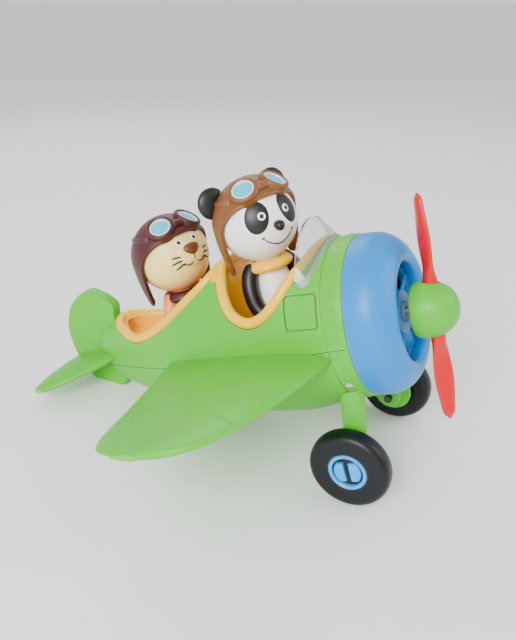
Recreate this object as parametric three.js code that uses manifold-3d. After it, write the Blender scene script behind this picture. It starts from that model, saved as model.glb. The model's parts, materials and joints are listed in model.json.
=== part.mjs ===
// Toy airplane with two lift-out animal pilots. Millimetres, +Z up, nose towards +X, port side towards +Y.
// Everything but the ground sits in the airplane's own frame: the origin is where the propeller axis meets
// the back of the engine cowl. The whole airplane is then tipped back onto its tail skid.
import * as THREE from "three";
import { mergeVertices } from "three/addons/utils/BufferGeometryUtils.js";
import Module from "manifold-3d";

const wasm = await Module();
wasm.setup();

// Driving dimensions.
const gap = 0.3; // clearance between pieces that touch
const runGap = 0.25; // radial clearance of turning pieces
const wall = 2.4; // fuselage shells
const noseRadius = 45; // height of the fuselage at the cowl, halved
const bodyLength = 206; // cowl back to tail end
const roundness = 2.2; // exponent of the fuselage cross-section, 2 is an ellipse
const bandWidth = 10.7; // riveted band behind the cowl
const bandProud = 0.6;
const seamDrop = 0.077; // slope of the seam between the two shells
const seamHeight = -1.5;
const cowlLength = 23.8;
const cowlMouth = 27;
const cowlWall = 3;
const grilleRadius = 29;
const grilleDepth = 4;
const grilleAt = 11;
const spokes = 8;
const bulkheadThick = 2.5;
const bulkheadGap = 1.2;
const shaftRadius = 2.5;
const bushRadius = 5.5;
const spinnerBack = 25.2;
const spinnerRadius = 15;
const spinnerTip = 47.7;
const propPlane = 34.5;
const propRadius = 61.9;
const propTurn = 9.46; // degrees, lean of the blades seen from behind
const bladeRoot = 4.3;
const bladeWidth = 11.5;
const bladeThick = 4;
const linerWall = 2;
const linerGap = 1; // between the liner and the shells around it
const rimRadius = 3.1;
const rimInset = 1.2;
const linerLedge = 2; // height where the liner steps in to the seat tubs
const tubInset = 14;
const seatDepth = 66.98; // seat to the top of the divider
const dividerThick = 6;
const wingHalfSpan = 140;
const wingWall = 2.2;
const wingHeight = -8; // where its screws and pads sit at the body side
const wingScrews = [-42, -92];
const wingScrewLength = 16;
const tongue = { rear: -78, front: -56, low: -11, high: -6, inside: 9.6, outside: 9.4 };
const screwRadius = 1.5;
const screwHead = 3;
const tyreRadius = 22.7;
const tyreWidth = 12;
const rimSeat = 15.5; // radius where the tyre sits on its hub
const hubRing = 10;
const wheelAt = { x: -13.4, z: -68.8 };
const wheelTrack = 46.6; // centreline to the middle of each tyre
const axleRadius = 2.4;
const strutTop = { x: -10.5, y: 24 };
const strutScrewLength = 13;
const strutLong = 13;
const strutWide = 9;
const finThick = 8;
const skidAt = { behind: -1.3, z: -32.9 }; // behind the tail end
const tailHalfSpan = 48;
const hatchSize = 18.5;
const hatchGroove = 0.9;
const hatchAt = { x: -23, z: 18.5 };
const figureGap = 0.6;
const bodyScrewAt = { x: -7.6, in: 8.35 }; // in from the side of the nose
const bodyScrewRear = 0.845; // share of the length
const headRadius = 23;
const neckRadius = 8;
const capThick = 2.6;
const goggleRadius = 8.6;
const goggleWall = 2.4;

// Fuselage stations: place along the length, then top, bottom, half-width and the height where it is widest,
// all four as shares of the nose radius.
const stations = [
  [1.0, -0.11, -0.42, 0.07, -0.27],
  [0.97, 0.13, -0.53, 0.16, -0.27],
  [0.874, 0.33, -0.75, 0.33, -0.24],
  [0.68, 0.66, -1.02, 0.63, -0.18],
  [0.485, 0.91, -1.18, 0.82, -0.11],
  [0.34, 1.02, -1.2, 0.91, -0.07],
  [0.194, 1.03, -1.18, 0.93, -0.02],
  [0.0, 1.0, -1.0, 0.93, 0.0],
];
// Side view of the cockpit edge: place along the length, height over the nose radius.
const cockpitEdge = [
  [0.087, 1.07], [0.104, 0.91], [0.14, 0.77], [0.182, 0.56], [0.223, 0.41], [0.272, 0.355], [0.318, 0.46],
  [0.348, 0.67], [0.368, 0.86], [0.389, 0.955], [0.425, 0.815], [0.494, 0.62], [0.584, 0.38], [0.67, 0.215],
  [0.748, 0.15], [0.822, 0.25], [0.865, 0.36],
];
const dividerAt = 0.386;

const flatten = stations[stations.length - 1][3]; // the nose is this much narrower than it is high
const along = (share) => -bodyLength * share;
const seamAt = (x) => seamHeight + seamDrop * x;
const tailEnd = along(1);
const dividerTop = Math.max(...cockpitEdge.slice(3, -3).map((row) => row[1])) * noseRadius;
const seatFloor = dividerTop - seatDepth;

const colours = {
  green: new THREE.MeshStandardMaterial({ color: 0x6cc04a, roughness: 0.42, metalness: 0 }),
  blue: new THREE.MeshStandardMaterial({ color: 0x2f97d8, roughness: 0.4, metalness: 0 }),
  red: new THREE.MeshStandardMaterial({ color: 0xe12a22, roughness: 0.22, metalness: 0 }),
  yellow: new THREE.MeshStandardMaterial({ color: 0xfab52a, roughness: 0.35, metalness: 0 }),
  clear: new THREE.MeshStandardMaterial({ color: 0xe8f2f6, roughness: 0.08, metalness: 0 }),
  black: new THREE.MeshStandardMaterial({ color: 0x15171c, roughness: 0.5, metalness: 0 }),
  hubBlue: new THREE.MeshStandardMaterial({ color: 0x46bdee, roughness: 0.35, metalness: 0 }),
  white: new THREE.MeshStandardMaterial({ color: 0xf2f2f4, roughness: 0.35, metalness: 0 }),
  tan: new THREE.MeshStandardMaterial({ color: 0xa9682f, roughness: 0.45, metalness: 0 }),
  maroon: new THREE.MeshStandardMaterial({ color: 0x57292b, roughness: 0.4, metalness: 0 }),
  lens: new THREE.MeshStandardMaterial({ color: 0x7ccddc, roughness: 0.25, metalness: 0 }),
  cream: new THREE.MeshStandardMaterial({ color: 0xfbe3a6, roughness: 0.4, metalness: 0 }),
  steel: new THREE.MeshStandardMaterial({ color: 0xb9bcc0, roughness: 0.3, metalness: 1 }),
  nylon: new THREE.MeshStandardMaterial({ color: 0xe4e4dc, roughness: 0.5, metalness: 0 }),
};

function signedVolume(place, corners) {
  const at = (i) => new THREE.Vector3().fromArray(place, 3 * corners[i]);
  let sum = 0;
  for (let i = 0; i < corners.length; i += 3) sum += at(i).dot(at(i + 1).cross(at(i + 2)));
  return sum;
}

// A closed three.js geometry as a solid that can be joined and cut, its faces turned outwards.
function solid(geometry) {
  const bare = geometry.clone();
  for (const name of Object.keys(bare.attributes)) {
    if (name !== "position") bare.deleteAttribute(name);
  }
  const merged = mergeVertices(bare, 1e-4);
  const place = new Float32Array(merged.attributes.position.array);
  const corners = new Uint32Array(merged.index.array);
  if (signedVolume(place, corners) < 0) corners.reverse();
  return new wasm.Manifold(new wasm.Mesh({ numProp: 3, vertProperties: place, triVerts: corners }));
}

function geometryOf(piece) {
  const data = piece.getMesh();
  const geometry = new THREE.BufferGeometry();
  geometry.setAttribute("position", new THREE.BufferAttribute(new Float32Array(data.vertProperties), 3));
  geometry.setIndex(new THREE.BufferAttribute(new Uint32Array(data.triVerts), 1));
  geometry.computeVertexNormals();
  return geometry;
}

// The largest piece, once trimming has left crumbs beside it.
function mainPiece(piece) {
  return piece.decompose().reduce((best, other) => (other.volume() > best.volume() ? other : best));
}

function joined(pieces) {
  return pieces.reduce((all, piece) => all.add(piece));
}

function box(from, to) {
  const size = to.map((value, i) => value - from[i]);
  const geometry = new THREE.BoxGeometry(...size);
  geometry.translate(...to.map((value, i) => (value + from[i]) / 2));
  return solid(geometry);
}

// A round bar from one point to another.
function bar(from, to, radius, sides = 12) {
  const start = new THREE.Vector3(...from);
  const run = new THREE.Vector3(...to).sub(start);
  const geometry = new THREE.CylinderGeometry(radius, radius, run.length(), sides);
  geometry.translate(0, run.length() / 2, 0);
  const turn = new THREE.Quaternion().setFromUnitVectors(new THREE.Vector3(0, 1, 0), run.normalize());
  geometry.applyQuaternion(turn);
  geometry.translate(...from);
  return solid(geometry);
}

function ball(centre, radii, across = 18, down = 12) {
  const geometry = new THREE.SphereGeometry(1, across, down);
  geometry.rotateX(Math.PI / 2);
  geometry.scale(...radii);
  geometry.translate(...centre);
  return solid(geometry);
}

// A turned piece: [radius, height] points, spun about +Z, then its axis is laid along the named axis.
function turned(profile, sides, axis = "z") {
  const geometry = new THREE.LatheGeometry(profile.map(([r, h]) => new THREE.Vector2(r, h)), sides);
  geometry.rotateX(Math.PI / 2);
  if (axis === "x") geometry.rotateY(Math.PI / 2);
  if (axis === "y") geometry.rotateX(-Math.PI / 2);
  return solid(geometry);
}

// The profile of a plain sleeve.
function sleeve(inner, outer, low, high) {
  return [[inner, low], [outer, low], [outer, high], [inner, high], [inner, low]];
}

// A body that runs from one place to another; section(at, angle) gives each outline point [x, y, z].
function lofted(section, from, to, sides, steps) {
  const geometry = new THREE.CylinderGeometry(1, 1, 1, sides, steps);
  const place = geometry.attributes.position;
  for (let i = 0; i < place.count; i += 1) {
    const at = from + (to - from) * (place.getY(i) + 0.5);
    const [x, z] = [place.getX(i), place.getZ(i)];
    const reach = Math.hypot(x, z);
    const middle = section(at, null);
    const edge = section(at, Math.atan2(x, z));
    place.setXYZ(i, ...edge.map((value, k) => middle[k] + (value - middle[k]) * reach));
  }
  return solid(geometry);
}

function power(value, exponent) {
  return Math.sign(value) * Math.abs(value) ** exponent;
}

// Smooth values between table rows [place, value, value, ...], whose places rise.
function smooth(rows) {
  const places = rows.map((row) => row[0]);
  const values = rows.flatMap((row) => row.slice(1));
  return new THREE.CubicInterpolant(places, values, rows[0].length - 1);
}

const stationAt = smooth(
  stations.map(([share, ...sizes]) => [along(share), ...sizes.map((v) => v * noseRadius)]),
);

function girth(x, inset) {
  const [top, bottom, half, middle] = stationAt.evaluate(Math.min(0, x));
  const shrink = Math.min(inset, 0.9 * half);
  return { top: top - shrink, bottom: bottom + shrink, half: half - shrink, middle };
}

function bodySolid(inset, from = along(1) + Math.max(0, inset), to = 0, sides = 22, steps = 11) {
  return lofted((x, angle) => {
    const { top, bottom, half, middle } = girth(x, inset);
    if (angle === null) return [x, 0, middle];
    const rise = Math.sin(angle) > 0 ? top - middle : middle - bottom;
    const y = half * power(Math.cos(angle), 2 / roundness);
    return [x, y, middle + rise * power(Math.sin(angle), 2 / roundness)];
  }, from, to, sides, steps);
}

function topAt(x, y, inset = 0) {
  const { top, half, middle } = girth(x, inset);
  const share = Math.max(0, 1 - Math.abs(y / half) ** roundness);
  return middle + (top - middle) * share ** (1 / roundness);
}

function sideAt(x, z, inset = 0) {
  const { top, bottom, half, middle } = girth(x, inset);
  const rise = z > middle ? top - middle : middle - bottom;
  const share = Math.max(0, 1 - Math.abs((z - middle) / rise) ** roundness);
  return half * share ** (1 / roundness);
}

function bottomAt(x, y, inset = 0) {
  const { bottom, half, middle } = girth(x, inset);
  const share = Math.max(0, 1 - Math.abs(y / half) ** roundness);
  return middle - (middle - bottom) * share ** (1 / roundness);
}

const edgeCurve = new THREE.SplineCurve(
  cockpitEdge.map(([share, height]) => new THREE.Vector2(along(share), height * noseRadius)),
);

// Everything above the cockpit edge, seen from the side.
function aboveEdge() {
  const points = edgeCurve.getPoints(26);
  const shape = new THREE.Shape(points);
  shape.lineTo(points[points.length - 1].x, 2 * noseRadius);
  shape.lineTo(points[0].x, 2 * noseRadius);
  const geometry = new THREE.ExtrudeGeometry(shape, { depth: 4 * noseRadius, bevelEnabled: false });
  geometry.rotateX(Math.PI / 2);
  geometry.translate(0, 2 * noseRadius, 0);
  return solid(geometry);
}

function tube(points, radius, steps, sides = 8) {
  const shape = new THREE.Shape();
  shape.absarc(0, 0, radius, 0, 2 * Math.PI);
  const path = new THREE.CatmullRomCurve3(points);
  return solid(new THREE.ExtrudeGeometry(shape, { steps, curveSegments: sides / 2, extrudePath: path }));
}

// The rounded rim along the cockpit edge, and the arch over the divider.
function rimSolid(radius) {
  const halves = [-1, 1].map((side) => {
    const points = edgeCurve.getPoints(26)
      .map((p) => new THREE.Vector3(p.x, side * sideAt(p.x, p.y, rimInset), p.y))
      .filter((p) => Math.abs(p.y) > 3);
    const front = points[0].x + 2;
    const rear = points[points.length - 1].x - 2;
    points.unshift(new THREE.Vector3(front, -side, topAt(front, 0, rimInset)));
    points.push(new THREE.Vector3(rear, -side, topAt(rear, 0, rimInset)));
    return tube(points, radius, 26, 6);
  });
  const x = along(dividerAt);
  const reach = 0.5 * noseRadius;
  const arch = [-1, -0.5, 0, 0.5, 1]
    .map((share) => new THREE.Vector3(x, share * reach, topAt(x, share * reach, rimInset + 0.6)));
  return joined([...halves, tube(arch, radius, 6, 6)]);
}

const body = bodySolid(0);
const innerBody = bodySolid(wall, along(1) + 4 * wall, 1, 18, 7);
const clearOfBody = bodySolid(-gap, along(1) - gap, 0);

function bandSolid() {
  const ring = lofted((x, angle) => {
    const grow = noseRadius + bandProud;
    return angle === null ? [x, 0, 0] : [x, flatten * grow * Math.cos(angle), grow * Math.sin(angle)];
  }, -bandWidth, 0, 24, 1);
  return ring;
}

function slabBelowSeam(lower) {
  const far = 2 * bodyLength;
  const shift = lower ? -gap / 2 : gap / 2;
  const geometry = new THREE.BoxGeometry(far, far, far);
  geometry.translate(0, 0, -far / 2);
  geometry.rotateY(-Math.atan(seamDrop));
  geometry.translate(0, 0, seamHeight + shift);
  return solid(geometry);
}

function hatchPocket(side, grow) {
  const half = hatchSize / 2 + grow;
  const geometry = new THREE.BoxGeometry(2 * half, 3 * wall, 2 * half);
  geometry.rotateX(side * 0.32);
  geometry.translate(hatchAt.x, side * sideAt(hatchAt.x, hatchAt.z, wall), hatchAt.z);
  return solid(geometry);
}

const bodyScrewOut = flatten * noseRadius - bodyScrewAt.in;

// Screw posts: each lower post takes a screw from the belly, each upper post is its nut.
const bodyScrews = [
  { name: "body_screw_left", x: bodyScrewAt.x, y: bodyScrewOut },
  { name: "body_screw_right", x: bodyScrewAt.x, y: -bodyScrewOut },
  { name: "body_screw_rear", x: along(bodyScrewRear), y: 0 },
];
const screwDeep = 9;

function screwSpan(screw) {
  const seam = seamAt(screw.x);
  const head = Math.min(seam - 6, bottomAt(screw.x, screw.y) + 7);
  return { head, seam, tip: seam + screwDeep };
}

function upperPosts() {
  return joined(bodyScrews.map((screw) => {
    const { seam, tip } = screwSpan(screw);
    const post = bar([screw.x, screw.y, seam + gap], [screw.x, screw.y, tip + 3], 3.2, 12);
    const web = screw.y === 0
      ? box([screw.x - 1.2, -noseRadius, seam + gap], [screw.x + 1.2, noseRadius, seam + 6])
      : box([screw.x - 1.2, Math.min(screw.y, 2 * screw.y), seam + gap],
        [screw.x + 1.2, Math.max(screw.y, 2 * screw.y), tip + 3]);
    return post.add(web).subtract(slabBelowSeam(false))
      .subtract(bar([screw.x, screw.y, seam - 4], [screw.x, screw.y, tip + gap], screwRadius + gap, 12));
  }));
}

function lowerPosts() {
  return joined(bodyScrews.map((screw) => {
    const seam = screwSpan(screw).seam;
    return bar([screw.x, screw.y, -2 * noseRadius], [screw.x, screw.y, seam + 2], 4.6, 12);
  })).intersect(slabBelowSeam(true)).intersect(bodySolid(wall / 2));
}

function screwHoles() {
  return joined(bodyScrews.map((screw) => {
    const { head, tip } = screwSpan(screw);
    return bar([screw.x, screw.y, -2 * noseRadius], [screw.x, screw.y, head], screwHead + gap, 12)
      .add(bar([screw.x, screw.y, head - 1], [screw.x, screw.y, tip], screwRadius + gap, 12));
  }));
}

function screwSolid(length) {
  const head = turned([
    [0, 0], [screwHead, 0], [screwHead, 2], [screwRadius, 2], [screwRadius, length], [0, length],
  ], 10);
  return head.subtract(box([-0.5, -2, -1], [0.5, 2, 1]));
}

function linerSolid() {
  const inset = wall + linerGap;
  const front = along(cockpitEdge[0][0]) + rimRadius;
  const rear = along(cockpitEdge[cockpitEdge.length - 1][0]) - 1;
  const high = 2 * noseRadius;
  const upper = (extra) => bodySolid(inset + extra, rear + extra, front - extra, 16, 7)
    .intersect(box([rear - 1, -high, linerLedge + extra], [front + 1, high, high]));
  const tub = (extra) => bodySolid(tubInset + extra, along(0.74) + extra, front - 4 - extra, 12, 4)
    .intersect(box([rear - 1, -high, seatFloor + extra], [front + 1, high, linerLedge + 2 * extra + 0.1]));
  const shell = upper(0).add(tub(0)).subtract(upper(linerWall)).subtract(tub(linerWall));
  const x = along(dividerAt);
  const divider = box([x - dividerThick / 2, -high, seatFloor], [x + dividerThick / 2, high, high])
    .intersect(upper(0).add(tub(0)));
  return shell.add(divider).subtract(aboveEdge()).add(rimSolid(rimRadius));
}

const screenThick = 1.5;
const screenWrap = 0.8414; // radians from the top of the nose to each end
const screenHalf = flatten * noseRadius * Math.sin(screenWrap);
const screenFront = -12.2;
const screenSunk = 1.2; // depth of its foot in the upper shell
const screenSweep = 13.6 - rimRadius; // its ends stay clear of the rim
const screenHigh = 11;
const screenLean = 10.5;

function screenSolid(grow = 0) {
  const geometry = new THREE.BoxGeometry(2, 1, 1, 16, 1, 3);
  const place = geometry.attributes.position;
  for (let i = 0; i < place.count; i += 1) {
    const across = place.getX(i);
    const up = place.getZ(i) + 0.5;
    const out = place.getY(i) * (screenThick + 2 * grow);
    const y = (screenHalf + grow) * Math.sin(across * Math.PI / 2);
    const x = screenFront - screenSweep * across * across;
    const fade = (1 - Math.abs(across) ** 2.5) ** 1.2;
    const tall = screenSunk + 1.5 + screenHigh * fade * 1.15;
    const facing = 1.25 * across;
    const base = topAt(x, Math.min(Math.abs(y), screenHalf)) - screenSunk - grow;
    place.setXYZ(
      i,
      x - up * screenLean * (0.35 + 0.65 * fade) - out * Math.cos(facing),
      y * (1 - 0.1 * up * fade) - out * Math.sin(facing),
      base + up * tall,
    );
  }
  return solid(geometry);
}

// Wing stations: distance out, leading edge, trailing edge, middle height, thickness.
const wingRows = smooth([
  [0, -9, -130, -9.5, 19],
  [0.26, -11, -122, -8, 17.5],
  [0.5, -17, -113, -6.5, 14.5],
  [0.7, -23.5, -106.5, -5, 11.8],
  [0.82, -31, -103, -4, 10],
  [0.91, -39, -98.5, -3.2, 8.6],
  [0.97, -51, -91, -2.5, 7],
  [1.0, -64, -80, -2, 4.5],
].map(([share, ...rest]) => [share * wingHalfSpan, ...rest]));

function wingOutline(side, shrink) {
  return (out, angle) => {
    const [lead, trail, height, thick] = wingRows.evaluate(out);
    const middle = (lead + trail) / 2;
    if (angle === null) return [middle, side * out, height];
    const half = (lead - trail) / 2 - shrink;
    const share = power(Math.cos(angle), 0.92);
    const body = 0.5 * thick - 0.7 * shrink;
    const taper = 0.72 + 0.28 * share;
    return [middle + half * share, side * out, height + body * taper * power(Math.sin(angle), 0.9)];
  };
}

function wingSolid(side) {
  const root = 0.67 * noseRadius; // inside the body, before it is trimmed
  const outer = lofted(wingOutline(side, 0), root, wingHalfSpan, 14, 10);
  const hollow = lofted(wingOutline(side, wingWall), root - 1, 0.86 * wingHalfSpan, 10, 4);
  const { rear, front, low, high, inside, outside } = tongue;
  const rootBlock = sideBlock(side, rear - 3, front + 3, -noseRadius, noseRadius, inside / 2, outside)
    .intersect(outer);
  const pads = joined(wingScrews.map((x) => sideBar(side, x, 5, 8, 21))).intersect(outer);
  return outer.subtract(hollow).add(pads).add(rootBlock).subtract(clearOfBody)
    .add(sideBlock(side, rear, front, low, high, inside, outside))
    .subtract(joined(wingScrews.map((x) => sideBar(side, x, screwRadius + gap, 12, wingScrewLength + 1))));
}

// A block through the side of the body where the wing's tongue is, so far inside and outside that side.
function sideBlock(side, rear, front, low, high, inside, outside) {
  const at = sideAt((tongue.rear + tongue.front) / 2, wingHeight);
  const [near, far] = [side * (at - inside), side * (at + outside)];
  return box([rear, Math.min(near, far), low], [front, Math.max(near, far), high]);
}

// The same for a round bar along a wing screw.
function sideBar(side, x, radius, inside, outside) {
  const at = sideAt(x, wingHeight);
  return bar([x, side * (at - inside), wingHeight], [x, side * (at + outside), wingHeight], radius, 10);
}

function tongueSlot(side) {
  const { rear, front, low, high, inside } = tongue;
  return sideBlock(side, rear - gap, front + gap, low - gap, high + gap, inside + 1, noseRadius);
}

function wingScrewPlace(x, side) {
  return side * (sideAt(x, wingHeight, wall) - screwHead - 2 * gap);
}

const tailPinAt = { x: tailEnd + 3, z: -12 };
const tailPinRadius = 1.6;
const tailPinHalf = 15;

// Tailplane stations: share of the half span, both edges ahead of the tail end, height, thickness.
const tailRows = smooth([
  [0, 23, -23, -10.5, 10],
  [0.3, 17, -25, -11, 9.5],
  [0.6, 6, -27.5, -12.5, 8.5],
  [0.82, -4, -28.5, -14, 7],
  [0.94, -12, -28, -15, 5.6],
  [1.0, -19, -26, -15.5, 3.5],
].map(([share, lead, trail, ...rest]) => [share * tailHalfSpan, tailEnd + lead, tailEnd + trail, ...rest]));

function tailplaneSolid(side) {
  const blade = lofted((out, angle) => {
    const [lead, trail, height, thick] = tailRows.evaluate(out);
    const middle = (lead + trail) / 2;
    if (angle === null) return [middle, side * out, height];
    const share = Math.cos(angle);
    return [middle + (lead - trail) / 2 * share, side * out,
      height + thick / 2 * (0.8 + 0.2 * share) * power(Math.sin(angle), 0.9)];
  }, 0, tailHalfSpan, 16, 9);
  return blade.subtract(clearOfBody)
    .subtract(box([2 * tailEnd, -finThick / 2 - gap, tailEnd], [0, finThick / 2 + gap, -tailEnd]))
    .subtract(tailPinBar(tailPinRadius + gap, 1));
}

function tailPinBar(radius, longer = 0) {
  const reach = tailPinHalf + longer;
  return bar([tailPinAt.x, -reach, tailPinAt.z], [tailPinAt.x, reach, tailPinAt.z], radius, 12);
}

// Side view of the fin: distance ahead of the tail end, height.
const finOutline = [
  [24, 4], [24.5, 16], [26.5, 24], [22, 30], [15.7, 34.3], [10, 37], [3, 36.6], [-7, 31.5], [-14.3, 25.1],
  [-20.5, 15], [-23, 4], [-22.5, -10], [-19.5, -20], [-13, -28.5], [-5, -34.5], [1.3, -36], [8.5, -36],
  [15, -32], [20, -22], [22, 0],
];

function finSolid(grow = 0) {
  const corners = finOutline.map(([x, z]) => new THREE.Vector3(tailEnd + x, z, 0));
  const curve = new THREE.CatmullRomCurve3(corners, true);
  const points = curve.getPoints(30).slice(0, -1).map((p) => new THREE.Vector2(p.x, p.y));
  const shape = new THREE.Shape(points);
  const edge = grow > 0 ? 0 : 1.6;
  const geometry = new THREE.ExtrudeGeometry(shape, {
    depth: finThick - 2 * edge + 2 * grow,
    bevelEnabled: true,
    bevelThickness: edge + 0.01,
    bevelSize: grow > 0 ? grow : edge,
    bevelOffset: grow > 0 ? 0 : -edge,
    bevelSegments: grow > 0 ? 1 : 2,
  });
  geometry.rotateX(Math.PI / 2);
  geometry.translate(0, finThick / 2 - edge + grow, 0);
  return solid(geometry);
}

const skidToWheel = { x: wheelAt.x - tailEnd + skidAt.behind, z: wheelAt.z - skidAt.z };
const skidReach = Math.hypot(skidToWheel.x, skidToWheel.z);
const pitch = Math.asin(tyreRadius / skidReach) - Math.atan2(skidToWheel.z, skidToWheel.x);
const standHeight = tyreRadius - (wheelAt.x * Math.sin(pitch) + wheelAt.z * Math.cos(pitch));

function belowGround() {
  const geometry = new THREE.BoxGeometry(1000, 1000, 200);
  geometry.translate(0, 0, -100 - standHeight);
  geometry.rotateY(pitch);
  return solid(geometry);
}

function flattened(piece) {
  return piece.transform([1, 0, 0, 0, 0, flatten, 0, 0, 0, 0, 1, 0, 0, 0, 0, 1]);
}

function cowlSolid() {
  const r = noseRadius;
  const c = cowlLength;
  const outer = [[r, gap], [1.002 * r, 0.25 * c], [0.985 * r, 0.5 * c], [0.925 * r, 0.72 * c],
    [0.84 * r, 0.88 * c], [0.75 * r, 0.975 * c], [0.69 * r, c], [0.63 * r, 0.97 * c], [cowlMouth, 0.91 * c]];
  const inner = [[cowlMouth, 0.8 * c], [grilleRadius + gap, 0.72 * c], [grilleRadius + gap, grilleAt - gap],
    [r - 2 * cowlWall, grilleAt - 2], [r - cowlWall, 4], [r - cowlWall, gap]];
  const profile = [...outer, ...inner, outer[0]];
  return flattened(turned(profile, 24, "x"));
}

function grilleSolid() {
  const low = grilleAt;
  const high = grilleAt + grilleDepth;
  const ring = turned(sleeve(grilleRadius - 2, grilleRadius, low, high), 20, "x");
  const hub = turned(sleeve(bushRadius + gap, 12, low, high + 4), 12, "x");
  const vanes = Array.from({ length: spokes }, (_, i) => {
    const geometry = new THREE.BoxGeometry(2.2, grilleRadius - 11.5, 7.5);
    geometry.rotateY(0.5);
    geometry.translate((low + high) / 2, (grilleRadius + 10.5) / 2, 0);
    geometry.rotateX(2 * Math.PI * (i + 0.5) / spokes);
    return solid(geometry);
  });
  return flattened(joined([ring, ...vanes])).add(hub);
}

function bulkheadSolid() {
  const reach = noseRadius - wall - bulkheadGap;
  const disc = turned([[0, -bulkheadThick], [reach, -bulkheadThick], [reach, 0], [0, 0]], 28, "x");
  return flattened(disc).subtract(bar([-5, 0, 0], [5, 0, 0], bushRadius + gap, 16));
}

const shaftTail = -9;

function bushSolid() {
  const front = grilleAt + grilleDepth + 5;
  return turned(sleeve(shaftRadius + runGap, bushRadius, -4, front), 16, "x");
}

function shaftSolid() {
  return turned([[0, shaftTail], [shaftRadius, shaftTail], [shaftRadius, 38], [0, 38]], 16, "x");
}

function clipSolid() {
  return turned(sleeve(shaftRadius + gap, 6, shaftTail + 1.4, shaftTail + 2.9), 12, "x");
}

function bladeSolid(side, grow = 0) {
  const widths = smooth([
    [0, bladeRoot, bladeRoot, 0.2],
    [0.25, bladeRoot, bladeRoot * 0.9, 0.35],
    [0.4, 0.42 * bladeWidth, 0.5 * bladeThick, 0.75],
    [0.62, 0.5 * bladeWidth, 0.45 * bladeThick, 0.8],
    [0.85, 0.4 * bladeWidth, 0.45 * bladeThick, 0.7],
    [0.96, 0.28 * bladeWidth, 0.42 * bladeThick, 0.65],
    [1, 0.1 * bladeWidth, 0.15 * bladeThick, 0.65],
  ].map(([share, ...rest]) => [share * propRadius, ...rest]));
  return lofted((out, angle) => {
    const [half, thick, twist] = widths.evaluate(out);
    if (angle === null) return [0, 0, side * out];
    const across = (half + grow) * Math.cos(angle);
    const deep = (thick + grow) * Math.sin(angle);
    return [
      side * (deep * Math.cos(twist) - across * Math.sin(twist)),
      deep * Math.sin(twist) + across * Math.cos(twist),
      side * out,
    ];
  }, 0, propRadius, 10, 12);
}

function propellerSolid() {
  const hub = turned(sleeve(shaftRadius + gap, 8, -5.5, 5.5), 16, "x");
  return joined([bladeSolid(1), bladeSolid(-1)])
    .subtract(bar([-10, 0, 0], [10, 0, 0], 7, 20))
    .add(hub);
}

function spinnerSolid() {
  const r = spinnerRadius;
  const l = spinnerTip - spinnerBack;
  const skin = turned([[0, 0], [r, 0], [1.03 * r, 0.16 * l], [1.02 * r, 0.34 * l], [0.95 * r, 0.55 * l],
    [0.8 * r, 0.74 * l], [0.58 * r, 0.89 * l], [0.3 * r, 0.98 * l], [0, l]], 18, "x");
  const hollow = turned([[0, -1], [r - 2.6, -1], [r - 2.6, 0.62 * l], [5, 0.8 * l], [0, 0.8 * l]], 12, "x");
  return skin.subtract(hollow)
    .translate([spinnerBack - propPlane, 0, 0])
    .subtract(bar([0, 0, -2 * r], [0, 0, 2 * r], bladeRoot + gap, 12))
    .subtract(bar([spinnerBack - propPlane - 1, 0, 0], [0, 0, 0], 8.5, 20));
}

const strutInner = wheelTrack - tyreWidth / 2 - 1.5; // outer face of the leg, just inside the wheel
const hubFace = tyreWidth / 2 - 1;
const bossRadius = 11.8;
const bossDisc = 3;
const pegRadius = 4;
const pegTop = bottomAt(strutTop.x, strutTop.y + pegRadius, wall) + 1;

function strutSolid(side) {
  const legY = strutInner - strutWide / 2;
  const low = wheelAt.z;
  const leg = lofted((z, angle) => {
    const share = (z - low) / (-25 - low);
    const x = wheelAt.x + (strutTop.x - wheelAt.x) * share;
    const y = side * (legY + (strutTop.y - legY) * share);
    if (angle === null) return [x, y, z];
    const fat = 1 + 0.12 * share;
    return [x + strutLong / 2 * fat * Math.cos(angle), y + strutWide / 2 * fat * Math.sin(angle), z];
  }, low, -25, 14, 4);
  const outer = [wheelAt.x, side * strutInner, low];
  const boss = bar([wheelAt.x, side * (legY - 5.2), low], outer, 7.2, 16)
    .add(bar([wheelAt.x, side * (strutInner - bossDisc), low], outer, bossRadius, 24));
  const pegFoot = bottomAt(strutTop.x, strutTop.y) - 1;
  return leg.add(boss).subtract(bodySolid(-gap))
    .add(strutBar(side, pegFoot, pegTop, pegRadius))
    .subtract(strutBar(side, pegTop - strutScrewLength, pegTop + 1, screwRadius + gap))
    .subtract(bar([wheelAt.x, side * 20, low], [wheelAt.x, side * 60, low], axleRadius + gap, 16));
}

// An upright round bar where the strut meets the belly.
function strutBar(side, low, high, radius) {
  return bar([strutTop.x, side * strutTop.y, low], [strutTop.x, side * strutTop.y, high], radius);
}

function pegHole(side) {
  return strutBar(side, wheelAt.z, pegTop + gap, pegRadius + gap);
}

// Wheels are drawn about their own middle, outer face towards +Y.
function tyreSolid() {
  const half = tyreWidth / 2;
  const points = Array.from({ length: 8 }, (_, i) => {
    const angle = Math.PI * i / 7;
    const out = (tyreRadius - rimSeat - 2) * Math.sin(angle) ** 0.75;
    return [rimSeat + 2 + out, -half * power(Math.cos(angle), 0.8)];
  });
  return turned([[rimSeat, -half + 0.5], ...points, [rimSeat, half - 0.5], [rimSeat, -half + 0.5]], 24, "y");
}

function hubSolid() {
  const seat = rimSeat - gap;
  const face = hubFace;
  return turned([
    [axleRadius + runGap, -face], [seat, -face], [seat, face - 0.6], [hubRing + 3.4, face + 0.6],
    [hubRing + 1.2, face + 0.2], [hubRing, face - 2.4], [6.2, face - 2.4], [6.2, 0], [axleRadius + runGap, 0],
    [axleRadius + runGap, -face],
  ], 20, "y");
}

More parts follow.
